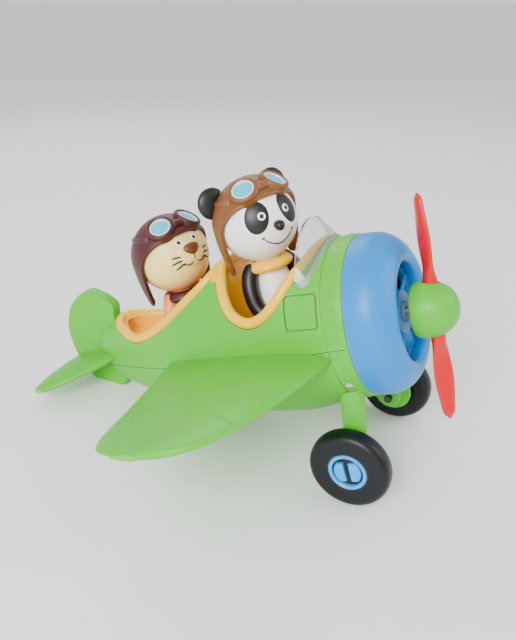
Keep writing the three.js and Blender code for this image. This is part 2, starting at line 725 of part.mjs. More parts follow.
// The round slotted cap that hides the axle's head.
function capSolid() {
  const low = hubFace - 2.1;
  const reach = hubRing - gap - 0.6;
  const cap = turned([
    [0, low], [reach, low], [reach, hubFace], [hubRing - 2, hubFace + 0.9], [0, hubFace + 1.1],
  ], 16, "y");
  const deep = hubFace - 1;
  const slot = box([-1.3, deep, -5], [1.3, 2 * hubFace, 5]);
  const bars = joined([-5.6, 5.6].map((z) => box([-3.4, deep, z - 1.1], [3.4, 2 * hubFace, z + 1.1])));
  return cap.subtract(slot).subtract(bars);
}

function axleSolid() {
  const inner = strutInner - strutWide - 4;
  const head = wheelTrack + hubFace - 2.7;
  return turned([[0, inner - wheelTrack], [axleRadius, inner - wheelTrack], [axleRadius, gap], [5.2, gap],
    [5.2, head - wheelTrack - 0.6], [0, head - wheelTrack - 0.6]], 16, "y");
}

// A figure stands on its seat and faces +X; heights are from the seat.
const panda = { x: along(0.2655), turn: -33, headUp: 84.8, trunk: 14, ears: true };
const lion = { x: along(0.581), turn: -22, headUp: 73.3, trunk: 12.5, ears: false };
const neckDeep = 8; // how far the neck goes into the head
const flapDrop = 1.5; // the cap's side flaps hang on this much taller an egg than the head

function figureBody(figure) {
  const neck = figure.headUp - headRadius;
  const bodyWide = figure.trunk;
  const trunk = turned([[0, 0], [bodyWide - 1.5, 0], [bodyWide, 2], [bodyWide, 0.35 * neck],
    [0.93 * bodyWide, 0.62 * neck], [0.72 * bodyWide, 0.85 * neck], [neckRadius, neck - 2],
    [neckRadius - 1, neck + neckDeep], [0, neck + neckDeep]], 16);
  const arms = [-1, 1].map((side) => tube([
    new THREE.Vector3(0, side * 0.66 * bodyWide, 0.84 * neck),
    new THREE.Vector3(2, side * 0.84 * bodyWide, 0.68 * neck),
    new THREE.Vector3(5, side * 0.8 * bodyWide, 0.48 * neck),
    new THREE.Vector3(9, side * 0.66 * bodyWide, 0.34 * neck),
  ], 4.2, 5, 6));
  return joined([trunk, ...arms]);
}

function headBall(figure, grow, across = 16, down = 10) {
  const radius = headRadius + grow;
  return ball([0, 0, figure.headUp], [radius, radius, radius], across, down);
}

function neckHole(figure) {
  const neck = figure.headUp - headRadius;
  return bar([0, 0, neck - neckDeep], [0, 0, neck + neckDeep + gap], neckRadius + gap, 18);
}

// Where the centre of a goggle sits on the head.
function gogglePlace(figure, side) {
  const lift = 0.88;
  const swing = side * 0.65;
  const reach = headRadius + capThick - 0.6;
  return new THREE.Vector3(Math.cos(lift) * Math.cos(swing), Math.cos(lift) * Math.sin(swing), Math.sin(lift))
    .multiplyScalar(reach);
}

function goggleBar(figure, side, radius, from, to) {
  const out = gogglePlace(figure, side);
  const way = out.clone().normalize();
  const centre = new THREE.Vector3(0, 0, figure.headUp);
  return bar(
    centre.clone().add(way.clone().multiplyScalar(out.length() + from)).toArray(),
    centre.clone().add(way.clone().multiplyScalar(out.length() + to)).toArray(),
    radius,
    10,
  );
}

function faceOpening(figure) {
  const geometry = new THREE.SphereGeometry(1, 12, 8);
  geometry.scale(1.065 * headRadius, 0.78 * headRadius, 1.065 * headRadius);
  geometry.translate(0.93 * headRadius, 0, figure.headUp - 0.42 * headRadius);
  return solid(geometry);
}

function capPiece(figure) {
  const shell = headBall(figure, capThick).subtract(headBall(figure, gap))
    .subtract(faceOpening(figure))
    .subtract(box([-60, -60, figure.headUp - 60], [60, 60, figure.headUp - 0.4 * headRadius]));
  const flaps = [-1, 1].map((side) => {
    const outline = [[9, 0], [-9, 0], [-7, -13], [-3, -24], [3, -24], [6, -12]];
    const drop = new THREE.Shape(outline.map(([x, z]) => new THREE.Vector2(x, z)));
    const geometry = new THREE.ExtrudeGeometry(drop, { depth: 60, bevelEnabled: false });
    geometry.rotateX(Math.PI / 2);
    geometry.translate(-3, side > 0 ? 60 : 0, figure.headUp - 4);
    const egg = (grow) => ball([0, 0, figure.headUp],
      [headRadius + grow, headRadius + grow, flapDrop * headRadius + grow], 16, 10);
    return solid(geometry)
      .intersect(egg(capThick))
      .subtract(egg(gap))
      .subtract(box([-60, -10, 0], [60, 10, 2 * figure.headUp]));
  });
  const rings = [-1, 1].map((side) => goggleBar(figure, side, goggleRadius, -4, 2.6));
  const bridge = bar(
    gogglePlace(figure, -1).add(new THREE.Vector3(0.5, 0, figure.headUp)).toArray(),
    gogglePlace(figure, 1).add(new THREE.Vector3(0.5, 0, figure.headUp)).toArray(),
    3,
    10,
  );
  let cap = joined([shell, ...flaps, ...rings, bridge]).subtract(headBall(figure, gap));
  for (const side of [-1, 1]) cap = cap.subtract(goggleBar(figure, side, goggleRadius - goggleWall, 0.8, 8));
  if (figure.ears) {
    for (const side of [-1, 1]) cap = cap.subtract(earPeg(figure, side, gap));
  }
  return cap;
}

function lensPiece(figure, side) {
  return goggleBar(figure, side, goggleRadius - goggleWall - gap, 0.8 + gap, 2.9);
}

const earAt = { x: -8, y: 20, z: 16 };
const earRadius = 9;
const earHalf = 3.6; // half its thickness
const earPegRadius = 2.2;

function earPeg(figure, side, grow) {
  const centre = [earAt.x, side * earAt.y, figure.headUp + earAt.z];
  const start = [0.6 * centre[0], 0.6 * centre[1], figure.headUp + 0.6 * earAt.z];
  return bar(start, centre, earPegRadius + grow, 12);
}

function earPiece(figure, side) {
  const centre = [earAt.x, side * earAt.y, figure.headUp + earAt.z];
  const ear = ball(centre, [earHalf, earRadius, earRadius], 12, 8).subtract(headBall(figure, capThick + gap));
  return ear.add(earPeg(figure, side, 0).subtract(headBall(figure, -4)));
}

function headPiece(figure) {
  let head = headBall(figure, 0).subtract(neckHole(figure));
  if (figure.ears) {
    const sockets = [-1, 1].map((side) => earPeg(figure, side, gap));
    head = head.subtract(joined(sockets));
  }
  return head;
}

function scarfPiece(figure) {
  const neck = figure.headUp - headRadius;
  const inner = neckRadius + 1.2;
  return turned([
    [inner, neck - 3.5], [inner + 3.5, neck - 3.6], [inner + 4.6, neck - 1.6], [inner + 3, neck + 0.4],
    [inner, neck + 0.4], [inner, neck - 3.5],
  ], 16)
    .subtract(headBall(figure, gap))
    .subtract(figureBody(figure).scale([1.03, 1.03, 1]));
}

const airplane = new THREE.Group();
airplane.rotation.y = -pitch;
airplane.position.z = standHeight;

function add(parent, name, piece, material, place = [0, 0, 0]) {
  const mesh = new THREE.Mesh(geometryOf(piece), material);
  mesh.name = name;
  mesh.position.set(...place);
  parent.add(mesh);
  return mesh;
}

const sides = [["left", 1], ["right", -1]];
const rimClear = rimSolid(rimRadius + gap);
const finClear = finSolid(gap);
const tailPinHole = tailPinBar(tailPinRadius + gap, 1);
const shell = body.add(bandSolid()).subtract(innerBody);
const sideCuts = joined(sides.flatMap(([, side]) => [
  tongueSlot(side),
  ...wingScrews.map((x) => sideBar(side, x, screwRadius + gap, 12, 12)),
]));

let upperShell = shell.subtract(slabBelowSeam(false)).add(upperPosts().intersect(bodySolid(wall / 2)))
  .subtract(aboveEdge()).subtract(rimClear).subtract(finClear).subtract(sideCuts).subtract(tailPinHole);
for (const [, side] of sides) upperShell = upperShell.subtract(hatchPocket(side, hatchGroove));
upperShell = mainPiece(upperShell.subtract(screenSolid(gap)));
add(airplane, "fuselage_upper", upperShell, colours.green);

let lowerShell = shell.intersect(slabBelowSeam(true)).add(lowerPosts()).subtract(screwHoles())
  .subtract(finClear).subtract(sideCuts).subtract(tailPinHole);
for (const [, side] of sides) {
  lowerShell = lowerShell.subtract(pegHole(side));
}
add(airplane, "fuselage_lower", lowerShell, colours.green);

add(airplane, "cockpit_liner", linerSolid(), colours.yellow);
add(airplane, "windscreen", screenSolid(), colours.clear);
add(airplane, "bulkhead", bulkheadSolid(), colours.blue);
add(airplane, "engine_cowl", cowlSolid(), colours.blue);
add(airplane, "cowl_grille", grilleSolid(), colours.blue);
add(airplane, "shaft_bush", bushSolid(), colours.nylon);
add(airplane, "prop_shaft", shaftSolid(), colours.steel);
add(airplane, "shaft_clip", clipSolid(), colours.steel);

const propGroup = new THREE.Group();
propGroup.position.x = propPlane;
propGroup.rotation.x = -propTurn * Math.PI / 180;
airplane.add(propGroup);
add(propGroup, "propeller", propellerSolid(), colours.red);
add(propGroup, "spinner", spinnerSolid(), colours.green);

for (const [name, side] of sides) {
  const hatch = hatchPocket(side, 0).intersect(body).subtract(innerBody).subtract(rimClear);
  add(airplane, "hatch_" + name, hatch, colours.green);
  add(airplane, "wing_" + name, wingSolid(side), colours.green);
  add(airplane, "tailplane_" + name, tailplaneSolid(side), colours.green);
  add(airplane, "gear_strut_" + name, strutSolid(side), colours.green);
  for (const [index, x] of wingScrews.entries()) {
    const screwName = "wing_screw_" + name + "_" + (index + 1);
    const screw = add(airplane, screwName, screwSolid(wingScrewLength), colours.steel,
      [x, wingScrewPlace(x, side), wingHeight]);
    screw.rotation.x = -side * Math.PI / 2;
  }
  const strutScrew = add(airplane, "strut_screw_" + name, screwSolid(strutScrewLength), colours.steel,
    [strutTop.x, side * strutTop.y, pegTop + gap + 2]);
  strutScrew.rotation.x = Math.PI;

  const wheel = new THREE.Group();
  wheel.position.set(wheelAt.x, side * wheelTrack, wheelAt.z);
  if (side < 0) wheel.rotation.z = Math.PI;
  airplane.add(wheel);
  add(wheel, "tyre_" + name, tyreSolid(), colours.black);
  add(wheel, "wheel_hub_" + name, hubSolid(), colours.hubBlue);
  add(wheel, "wheel_cap_" + name, capSolid(), colours.hubBlue);
  add(wheel, "axle_" + name, axleSolid(), colours.steel);
}

for (const screw of bodyScrews) {
  const { head, tip } = screwSpan(screw);
  const start = head - 2 - gap;
  add(airplane, screw.name, screwSolid(tip - start - 2 * gap), colours.steel, [screw.x, screw.y, start]);
}

const fin = finSolid().subtract(belowGround()).subtract(tailPinHole).subtract(rimClear);
add(airplane, "tail_fin", fin, colours.green);
add(airplane, "tail_pin", tailPinBar(tailPinRadius), colours.steel);

for (const [name, figure, skin, hood] of [
  ["panda", panda, colours.white, colours.tan],
  ["lion", lion, colours.cream, colours.maroon],
]) {
  const group = new THREE.Group();
  group.position.set(figure.x, 0, seatFloor + linerWall + figureGap);
  group.rotation.z = figure.turn * Math.PI / 180;
  airplane.add(group);
  add(group, name + "_body", figureBody(figure), skin);
  add(group, name + "_scarf", scarfPiece(figure), colours.yellow);
  add(group, name + "_head", headPiece(figure), skin);
  add(group, name + "_cap", capPiece(figure), hood);
  for (const [sideName, side] of sides) {
    add(group, name + "_lens_" + sideName, lensPiece(figure, side), colours.lens);
    if (figure.ears) add(group, name + "_ear_" + sideName, earPiece(figure, side), colours.black);
  }
}

// The origin is under the middle of the airplane, on the ground.
airplane.updateMatrixWorld(true);
const middle = new THREE.Box3().setFromObject(airplane, true).getCenter(new THREE.Vector3());
airplane.position.x -= middle.x;
airplane.position.y -= middle.y;

export default airplane;
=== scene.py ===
import json
import math

import bmesh
import bpy
import numpy as np
from mathutils import Matrix, Vector


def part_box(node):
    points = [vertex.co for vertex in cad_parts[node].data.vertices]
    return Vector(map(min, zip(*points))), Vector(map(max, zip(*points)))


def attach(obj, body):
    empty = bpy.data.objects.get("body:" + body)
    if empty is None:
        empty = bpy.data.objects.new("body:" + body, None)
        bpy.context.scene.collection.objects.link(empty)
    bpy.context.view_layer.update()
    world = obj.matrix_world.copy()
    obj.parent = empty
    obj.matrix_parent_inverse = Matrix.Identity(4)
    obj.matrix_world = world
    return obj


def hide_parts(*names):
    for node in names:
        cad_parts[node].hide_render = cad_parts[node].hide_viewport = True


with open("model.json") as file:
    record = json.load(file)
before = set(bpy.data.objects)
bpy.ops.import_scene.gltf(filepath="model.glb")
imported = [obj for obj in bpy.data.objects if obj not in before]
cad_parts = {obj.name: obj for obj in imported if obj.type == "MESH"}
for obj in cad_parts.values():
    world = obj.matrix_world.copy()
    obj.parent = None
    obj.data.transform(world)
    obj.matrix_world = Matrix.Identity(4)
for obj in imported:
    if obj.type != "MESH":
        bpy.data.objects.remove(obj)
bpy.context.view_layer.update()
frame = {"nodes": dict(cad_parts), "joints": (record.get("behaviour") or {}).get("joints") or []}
joints = {joint["name"]: joint for joint in frame["joints"]}

# Every size below is in millimetres in the airplane's own frame: x to the nose, y to port,
# z up, from the point where the propeller's axis meets the cowl's back.
plane = {
    "propPlane": 34.5,
    "nose": 45.0,
    "flatten": 0.93,
    "long": 206.0,
    "roundness": 2.2,
    "roundNose": 2.0,
    "wall": 2.4,
    "gap": 0.3,
    "seamHeight": -1.5,
    "seamDrop": 0.077,
}
axis = Vector(joints["propeller_spin"]["axis"])
pitch = math.atan2(axis.z, axis.x)
planeFrame = (
    Matrix.Translation(joints["propeller_spin"]["pos_m"])
    @ Matrix.Rotation(-pitch, 4, "Y")
    @ Matrix.Scale(0.001, 4)
    @ Matrix.Translation((-plane["propPlane"], 0, 0))
)
nose = plane["nose"]
flatten = plane["flatten"]
far = 400.0  # past every piece, for cutting blocks


# Mesh helpers: every shape is a closed mesh in millimetres until place() sets it in the frame

def power(value, exponent):
    return np.sign(value) * np.abs(value) ** exponent


# A cubic curve through table rows of place and values
def smoothTable(rows):
    rows = np.array(sorted(rows), dtype=float)
    places, values = rows[:, 0], rows[:, 1:]
    last = len(places) - 1

    def read(at):
        if at <= places[0]:
            return values[0]
        if at >= places[last]:
            return values[last]
        i = int(np.searchsorted(places, at, side="right"))
        t0, t1 = places[i - 1], places[i]
        before, tBefore = (i - 2, places[i - 2]) if i >= 2 else (i, 2 * t0 - t1)
        after, tAfter = (i + 1, places[i + 1]) if i < last else (i - 1, 2 * t1 - t0)
        half = (t1 - t0) / 2
        w0, w1 = half / (t0 - tBefore), half / (tAfter - t1)
        p = (at - t0) / (t1 - t0)
        return (
            (-w0 * p**3 + 2 * w0 * p**2 - w0 * p) * values[before]
            + ((1 + w0) * p**3 + (-1.5 - 2 * w0) * p**2 + (w0 - 0.5) * p + 1) * values[i - 1]
            + ((-1 - w1) * p**3 + (1.5 + w1) * p**2 + 0.5 * p) * values[i]
            + (w1 * p**3 - w1 * p**2) * values[after]
        )

    return read


def newObject(name, points, faces):
    mesh = bpy.data.meshes.new(name)
    mesh.from_pydata([tuple(map(float, p)) for p in points], [], faces)
    work = bmesh.new()
    work.from_mesh(mesh)
    bmesh.ops.remove_doubles(work, verts=work.verts, dist=1e-4)
    bmesh.ops.recalc_face_normals(work, faces=work.faces)
    work.to_mesh(mesh)
    work.free()
    made = bpy.data.objects.new(name, mesh)
    bpy.context.scene.collection.objects.link(made)
    return made


# A skin over rings of points, capped at both ends unless the rings close on themselves
def lofted(name, rings, closed=False):
    rings = [np.asarray(ring, dtype=float) for ring in rings]
    sides = len(rings[0])
    points = np.concatenate(rings)
    faces = []
    count = len(rings)
    for i in range(count if closed else count - 1):
        a, b = i * sides, ((i + 1) % count) * sides
        for j in range(sides):
            k = (j + 1) % sides
            faces.append((a + j, a + k, b + k, b + j))
    if not closed:
        points = np.vstack([points, rings[0].mean(0), rings[-1].mean(0)])
        low, high, start = count * sides, count * sides + 1, (count - 1) * sides
        for j in range(sides):
            k = (j + 1) % sides
            faces.append((low, k, j))
            faces.append((high, start + j, start + k))
    return newObject(name, points, faces)


# A profile of radius and height turned about an axis
def turned(name, profile, sides=96, axis="x", squeeze=1.0):
    profile = np.array(profile, dtype=float)
    rings = []
    for i in range(sides):
        angle = 2 * math.pi * i / sides
        c, s = math.cos(angle), math.sin(angle)
        r, h = profile[:, 0], profile[:, 1]
        ring = {"x": (h, r * c * squeeze, r * s), "y": (r * s, h, r * c), "z": (r * c, r * s, h)}[axis]
        rings.append(np.stack(ring, 1))
    return lofted(name, rings, closed=True)


# A Catmull-Rom curve through the points
def softCurve(points, steps, closed=False):
    points = np.asarray(points, dtype=float)
    count = len(points)
    out = []
    for i in range(count if closed else count - 1):
        if closed:
            a, b, c, d = (points[(i + k) % count] for k in (-1, 0, 1, 2))
        else:
            b, c = points[i], points[i + 1]
            a = points[i - 1] if i else 2 * b - c
            d = points[i + 2] if i + 2 < count else 2 * c - b
        for step in range(steps):
            t = step / steps
            out.append(0.5 * (2 * b + (c - a) * t + (2 * a - 5 * b + 4 * c - d) * t**2
                              + (3 * b - a - 3 * c + d) * t**3))
    if not closed:
        out.append(points[-1])
    return np.array(out)


def tube(name, path, radius, sides=20, closed=False):
    path = np.asarray(path, dtype=float)
    ahead = np.gradient(path, axis=0)
    if closed:
        ahead = np.roll(path, -1, 0) - np.roll(path, 1, 0)
    ahead /= np.linalg.norm(ahead, axis=1)[:, None]
    side = np.cross(ahead[0], (0.31, 0.2, 0.93))
    rings = []
    radii = np.broadcast_to(radius, len(path))
    for centre, way, size in zip(path, ahead, radii):
        side = side - way * side.dot(way)
        side /= np.linalg.norm(side)
        up = np.cross(way, side)
        angles = np.linspace(0, 2 * math.pi, sides, endpoint=False)[:, None]
        rings.append(centre + size * (np.cos(angles) * side + np.sin(angles) * up))
    return lofted(name, rings, closed)


# An outline seen from the side, drawn out from low to high across the airplane
def prism(name, outline, low, high):
    outline = np.asarray(outline, dtype=float)
    rings = [np.stack((outline[:, 0], np.full(len(outline), float(y)), outline[:, 1]), 1) for y in (low,
            high)]
    count = len(outline)
    faces = [(j, (j + 1) % count, count + (j + 1) % count, count + j) for j in range(count)]
    faces += [tuple(range(count))[::-1], tuple(range(count, 2 * count))]
    return newObject(name, np.concatenate(rings), faces)


def block(name, low, high):
    x0, y0, z0 = low
    x1, y1, z1 = high
    return prism(name, [(x0, z0), (x1, z0), (x1, z1), (x0, z1)], y0, y1)


def ball(name, centre, radii, across=64, down=40):
    rings = []
    for i in range(1, down):
        fall = math.pi * i / down
        turn = np.linspace(0, 2 * math.pi, across, endpoint=False)
        rings.append(np.stack((
            centre[0] + radii[0] * math.sin(fall) * np.cos(turn),
            centre[1] + radii[1] * math.sin(fall) * np.sin(turn),
            np.full(across, centre[2] + radii[2] * math.cos(fall)),
        ), 1))
    made = lofted(name, rings)
    for corner, sign in ((-2, 1), (-1, -1)):
        made.data.vertices[len(made.data.vertices) + corner].co.z = centre[2] + sign * radii[2]
    return made


def bar(name, start, end, radius, sides=48):
    return tube(name, [start, end], radius, sides)


# Cuts the others away from the target, or joins or intersects them, and removes them
def combine(target, others, how="DIFFERENCE"):
    for other in others:
        step = target.modifiers.new("cut", "BOOLEAN")
        step.operation, step.object, step.solver = how, other, "MANIFOLD"
    return settle(target, others)


# The target with its modifiers applied
def settle(target, helpers=()):
    shown = target.evaluated_get(bpy.context.evaluated_depsgraph_get())
    mesh = bpy.data.meshes.new_from_object(shown)
    target.modifiers.clear()
    target.data = mesh
    if not mesh.polygons:
        print("no faces left on", target.name)
    for helper in helpers:
        bpy.data.objects.remove(helper)
    return target


def copyOf(source, name):
    twin = bpy.data.objects.new(name, source.data.copy())
    bpy.context.scene.collection.objects.link(twin)
    return twin


def merged(name, pieces):
    work = bmesh.new()
    for piece in pieces:
        work.from_mesh(piece.data)
    mesh = bpy.data.meshes.new(name)
    work.to_mesh(mesh)
    work.free()
    for piece in pieces:
        bpy.data.objects.remove(piece)
    made = bpy.data.objects.new(name, mesh)
    bpy.context.scene.collection.objects.link(made)
    return made


def softened(target, width, angle=40, segments=3):
    step = target.modifiers.new("soften", "BEVEL")
    step.width, step.segments, step.limit_method = width, segments, "ANGLE"
    step.angle_limit = math.radians(angle)
    return settle(target)


# Sets a finished piece in the frame, with its finish, its body and the CAD nodes that it stands for
def place(target, name, body, material, slotName, stands=(), matrix=None, sharp=38):
    mesh = target.data
    mesh.transform(planeFrame @ matrix if matrix is not None else planeFrame)
    mesh.shade_smooth()
    mesh.set_sharp_from_angle(angle=math.radians(sharp))
    mesh.materials.clear()
    mesh.materials.append(material)
    target.name = name
    mesh.name = name
    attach(target, body)
    if stands:
        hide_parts(*stands)
    return target


# Shared node groups: fine grain with broad mottling, and pale rubbed edges

def nodeGroup(name, inputs, outputs):
    group = bpy.data.node_groups.new(name, "ShaderNodeTree")
    for label, default in inputs:
        socket = group.interface.new_socket(label, in_out="INPUT", socket_type="NodeSocketFloat")
        socket.default_value = default
    for label in outputs:
        group.interface.new_socket(label, in_out="OUTPUT", socket_type="NodeSocketFloat")
    return group, group.nodes.new("NodeGroupInput"), group.nodes.new("NodeGroupOutput")


def mathNode(tree, operation, a, b):
    node = tree.nodes.new("ShaderNodeMath")
    node.operation = operation
    for i, value in enumerate((a, b)):
        if isinstance(value, (int, float)):
            node.inputs[i].default_value = value
        else:
            tree.links.new(value, node.inputs[i])
    return node.outputs[0]


def noiseNode(tree, scale, detail=3.0):
    coordinates = tree.nodes.new("ShaderNodeTexCoord")
    noise = tree.nodes.new("ShaderNodeTexNoise")
    noise.inputs["Detail"].default_value = detail
    tree.links.new(coordinates.outputs["Object"], noise.inputs["Vector"])
    if isinstance(scale, (int, float)):
        noise.inputs["Scale"].default_value = scale
    else:
        tree.links.new(scale, noise.inputs["Scale"])
    return noise.outputs["Fac"]


grain, grainIn, grainOut = nodeGroup(
    "mouldedGrain",
    [("Grain", 1500.0), ("Mottle", 45.0), ("Roughness", 0.35), ("Spread", 0.1)],
    ["Shade", "Roughness", "Height"],
)
fine = noiseNode(grain, grainIn.outputs["Grain"])
broad = noiseNode(grain, grainIn.outputs["Mottle"], 4.0)
uneven = mathNode(grain, "ADD", mathNode(grain, "MULTIPLY", broad, 0.7), mathNode(grain, "MULTIPLY", fine,
        0.3))
spread = mathNode(grain, "MULTIPLY", mathNode(grain, "SUBTRACT", uneven, 0.5), grainIn.outputs["Spread"])
grain.links.new(uneven, grainOut.inputs["Shade"])
grain.links.new(mathNode(grain, "ADD", grainIn.outputs["Roughness"], spread), grainOut.inputs["Roughness"])
grain.links.new(fine, grainOut.inputs["Height"])

rub, rubIn, rubOut = nodeGroup("rubbedEdge", [("Amount", 0.3), ("Start", 0.53)], ["Mask"])
bent = rub.nodes.new("ShaderNodeNewGeometry").outputs["Pointiness"]
above = mathNode(rub, "MULTIPLY", mathNode(rub, "SUBTRACT", bent, rubIn.outputs["Start"]), 14.0)
patchy = mathNode(rub, "MULTIPLY", noiseNode(rub, 260.0), 1.4)
held = mathNode(rub, "MULTIPLY", mathNode(rub, "MAXIMUM", above, 0.0), patchy)
rub.links.new(
    mathNode(rub, "MINIMUM", mathNode(rub, "MULTIPLY", held, rubIn.outputs["Amount"]), 0.8),
    rubOut.inputs["Mask"]
)


def linear(colour):
    parts = [c / 255 for c in colour]
    return [p / 12.92 if p <= 0.04045 else ((p + 0.055) / 1.055) ** 2.4 for p in parts]


def mixNode(tree, factor, a, b):
    node = tree.nodes.new("ShaderNodeMix")
    node.data_type = "RGBA"
    tree.links.new(factor, node.inputs["Factor"])
    for label, value in (("A", a), ("B", b)):
        socket = next(s for s in node.inputs if s.name == label and s.type == "RGBA")
        if isinstance(value, (list, tuple)):
            socket.default_value = (*value, 1)
        else:
            tree.links.new(value, socket)
    return next(s for s in node.outputs if s.type == "RGBA")


def finish(name, colour, rough=0.32, spread=0.12, grainSize=1500.0, mottle=45.0, variation=0.1,
           wear=0.25, bump=0.06, metallic=0.0, coat=0.0, clear=0.0, sheen=0.0, specular=0.5, fade=None):
    material = bpy.data.materials.new(name)
    material.use_nodes = True
    tree = material.node_tree
    tree.nodes.clear()
    shader = tree.nodes.new("ShaderNodeBsdfPrincipled")
    output = tree.nodes.new("ShaderNodeOutputMaterial")
    tree.links.new(shader.outputs[0], output.inputs["Surface"])
    surface = tree.nodes.new("ShaderNodeGroup")
    surface.node_tree = grain
    surface.inputs["Grain"].default_value = grainSize
    surface.inputs["Mottle"].default_value = mottle
    surface.inputs["Roughness"].default_value = rough
    surface.inputs["Spread"].default_value = spread
    base = linear(colour)
    darker = [c * (1 - variation) for c in base]
    lighter = [min(1, c * (1 + variation)) for c in base]
    tint = mixNode(tree, surface.outputs["Shade"], darker, lighter)
    if fade:
        tint = mixNode(tree, fade["make"](tree), tint, linear(fade["colour"]))
    edges = tree.nodes.new("ShaderNodeGroup")
    edges.node_tree = rub
    edges.inputs["Amount"].default_value = wear
    pale = [min(1, 0.55 * c + 0.4) for c in base]
    tint = mixNode(tree, edges.outputs["Mask"], tint, pale)
    tree.links.new(tint, shader.inputs["Base Color"])
    tree.links.new(surface.outputs["Roughness"], shader.inputs["Roughness"])
    relief = tree.nodes.new("ShaderNodeBump")
    relief.inputs["Strength"].default_value = bump
    relief.inputs["Distance"].default_value = 0.0002
    tree.links.new(surface.outputs["Height"], relief.inputs["Height"])
    tree.links.new(relief.outputs[0], shader.inputs["Normal"])
    shader.inputs["Metallic"].default_value = metallic
    shader.inputs["Coat Weight"].default_value = coat
    shader.inputs["Coat Roughness"].default_value = 0.08
    shader.inputs["Transmission Weight"].default_value = clear
    shader.inputs["Sheen Weight"].default_value = sheen
    shader.inputs["Specular IOR Level"].default_value = specular
    return material


# A mask that rises as the surface falls below a height
def belowFade(centre, start, end):
    def make(tree):
        coordinates = tree.nodes.new("ShaderNodeTexCoord")
        split = tree.nodes.new("ShaderNodeSeparateXYZ")
        tree.links.new(coordinates.outputs["Object"], split.inputs[0])
        spread = tree.nodes.new("ShaderNodeMapRange")
        spread.inputs["From Min"].default_value = centre + start
        spread.inputs["From Max"].default_value = centre + end
        tree.links.new(split.outputs["Z"], spread.inputs["Value"])
        return spread.outputs[0]

    return make


lionHead = [(a + b) / 2 for a, b in zip(*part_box("lion_head"))]
finishes = {
    "green": finish("greenShell", (80, 182, 36), rough=0.38, variation=0.07, specular=0.3),
    "blue": finish("bluePlastic", (0, 128, 204), rough=0.36, variation=0.08, specular=0.3),
    "red": finish("redPropeller", (206, 2, 6), rough=0.28, coat=0.1, variation=0.07, specular=0.4),
    "yellow": finish("yellowPlastic", (255, 192, 0), rough=0.24, variation=0.06),
    "clear": finish("clearScreen", (242, 248, 252), rough=0.04, spread=0.03, clear=0.96, wear=0.0,
    bump=0.01),
    "foot": finish("screenFoot", (120, 150, 110), rough=0.35, wear=0.1),
    # Nylon bush and clip in a dim blue: real parts, their colour set as painted shade so they match the
    # shadowed space behind the grille.
    "nylon": finish("nylonPaintedShade", (30, 84, 140), rough=0.45),
    "steel": finish("brightSteel", (190, 192, 196), rough=0.28, metallic=1.0, grainSize=2600.0),
    # Steel darkened as painted shade: the axle ends show in the strut bosses' holes, which lie in shadow.
    "steelPaintedShade": finish("steelPaintedShade", (60, 62, 66), rough=0.4, metallic=1.0, grainSize=2600.0),
    "tyre": finish("tyreRubber", (7, 9, 14), rough=0.42, spread=0.2, bump=0.2, wear=0.12, specular=0.35),
    "hub": finish("hubBlue", (14, 160, 240), rough=0.3),
    # Near-black painted shade for hollows in shadow: the space behind the grille vanes and the wheel caps'
    # recesses.
    "recess": finish("hubShadow", (16, 22, 30), rough=0.6, wear=0.0),
    "white": finish("pandaWhite", (250, 249, 246), rough=0.38, variation=0.03, wear=0.0),
    "black": finish("softBlack", (9, 9, 11), rough=0.42, wear=0.1),
    "tan": finish("tanVinyl", (120, 70, 28), rough=0.42, grainSize=2200.0, bump=0.25, variation=0.14),
    "maroon": finish("maroonVinyl", (70, 20, 22), rough=0.45, grainSize=2200.0, bump=0.25, variation=0.14),
    "cream": finish("lionCream", (255, 228, 138), rough=0.4, variation=0.03, wear=0.0, fade={
        "make": belowFade(lionHead[2], -0.009, -0.021), "colour": (250, 140, 62)}),
    "brown": finish("noseBrown", (104, 58, 26), rough=0.35, wear=0.0),
    "lens": finish("goggleLens", (56, 190, 222), rough=0.12, coat=0.6, wear=0.0, variation=0.1),
    "lensEdge": finish("lensEdge", (214, 240, 246), rough=0.2, wear=0.0),
}
print("materials", len(finishes))


# Geometry Nodes: one small shape set on every point of a mesh, turned by the point's own rotation

def repeatTree(name, shape):
    tree = bpy.data.node_groups.new(name, "GeometryNodeTree")
    tree.is_modifier = True
    face = tree.interface
    face.new_socket("Geometry", in_out="INPUT", socket_type="NodeSocketGeometry")
    face.new_socket("Size", in_out="INPUT", socket_type="NodeSocketVector")
    face.new_socket("Material", in_out="INPUT", socket_type="NodeSocketMaterial")
    face.new_socket("Geometry", in_out="OUTPUT", socket_type="NodeSocketGeometry")
    start, end = tree.nodes.new("NodeGroupInput"), tree.nodes.new("NodeGroupOutput")
    shapeNode = shape(tree)
    sized = tree.nodes.new("GeometryNodeTransform")
    turn = tree.nodes.new("GeometryNodeInputNamedAttribute")
    turn.data_type = "FLOAT_VECTOR"
    turn.inputs["Name"].default_value = "turn"
    spin = tree.nodes.new("FunctionNodeEulerToRotation")
    put = tree.nodes.new("GeometryNodeInstanceOnPoints")
    real = tree.nodes.new("GeometryNodeRealizeInstances")
    paint = tree.nodes.new("GeometryNodeSetMaterial")
    link = tree.links.new
    link(shapeNode, sized.inputs["Geometry"])
    link(start.outputs["Size"], sized.inputs["Scale"])
    link(start.outputs["Geometry"], put.inputs["Points"])
    link(sized.outputs["Geometry"], put.inputs["Instance"])
    link(turn.outputs[0], spin.inputs[0])
    link(spin.outputs[0], put.inputs["Rotation"])
    link(put.outputs[0], real.inputs[0])
    link(real.outputs[0], paint.inputs["Geometry"])
    link(start.outputs["Material"], paint.inputs["Material"])
    link(paint.outputs[0], end.inputs[0])
    return tree


def domeShape(tree):
    node = tree.nodes.new("GeometryNodeMeshUVSphere")
    node.inputs["Segments"].default_value = 16
    node.inputs["Rings"].default_value = 10
    return node.outputs["Mesh"]


def slatShape(tree):
    node = tree.nodes.new("GeometryNodeMeshCube")
    return node.outputs["Mesh"]


domeTree = repeatTree("domeRow", domeShape)
slatTree = repeatTree("slatRing", slatShape)


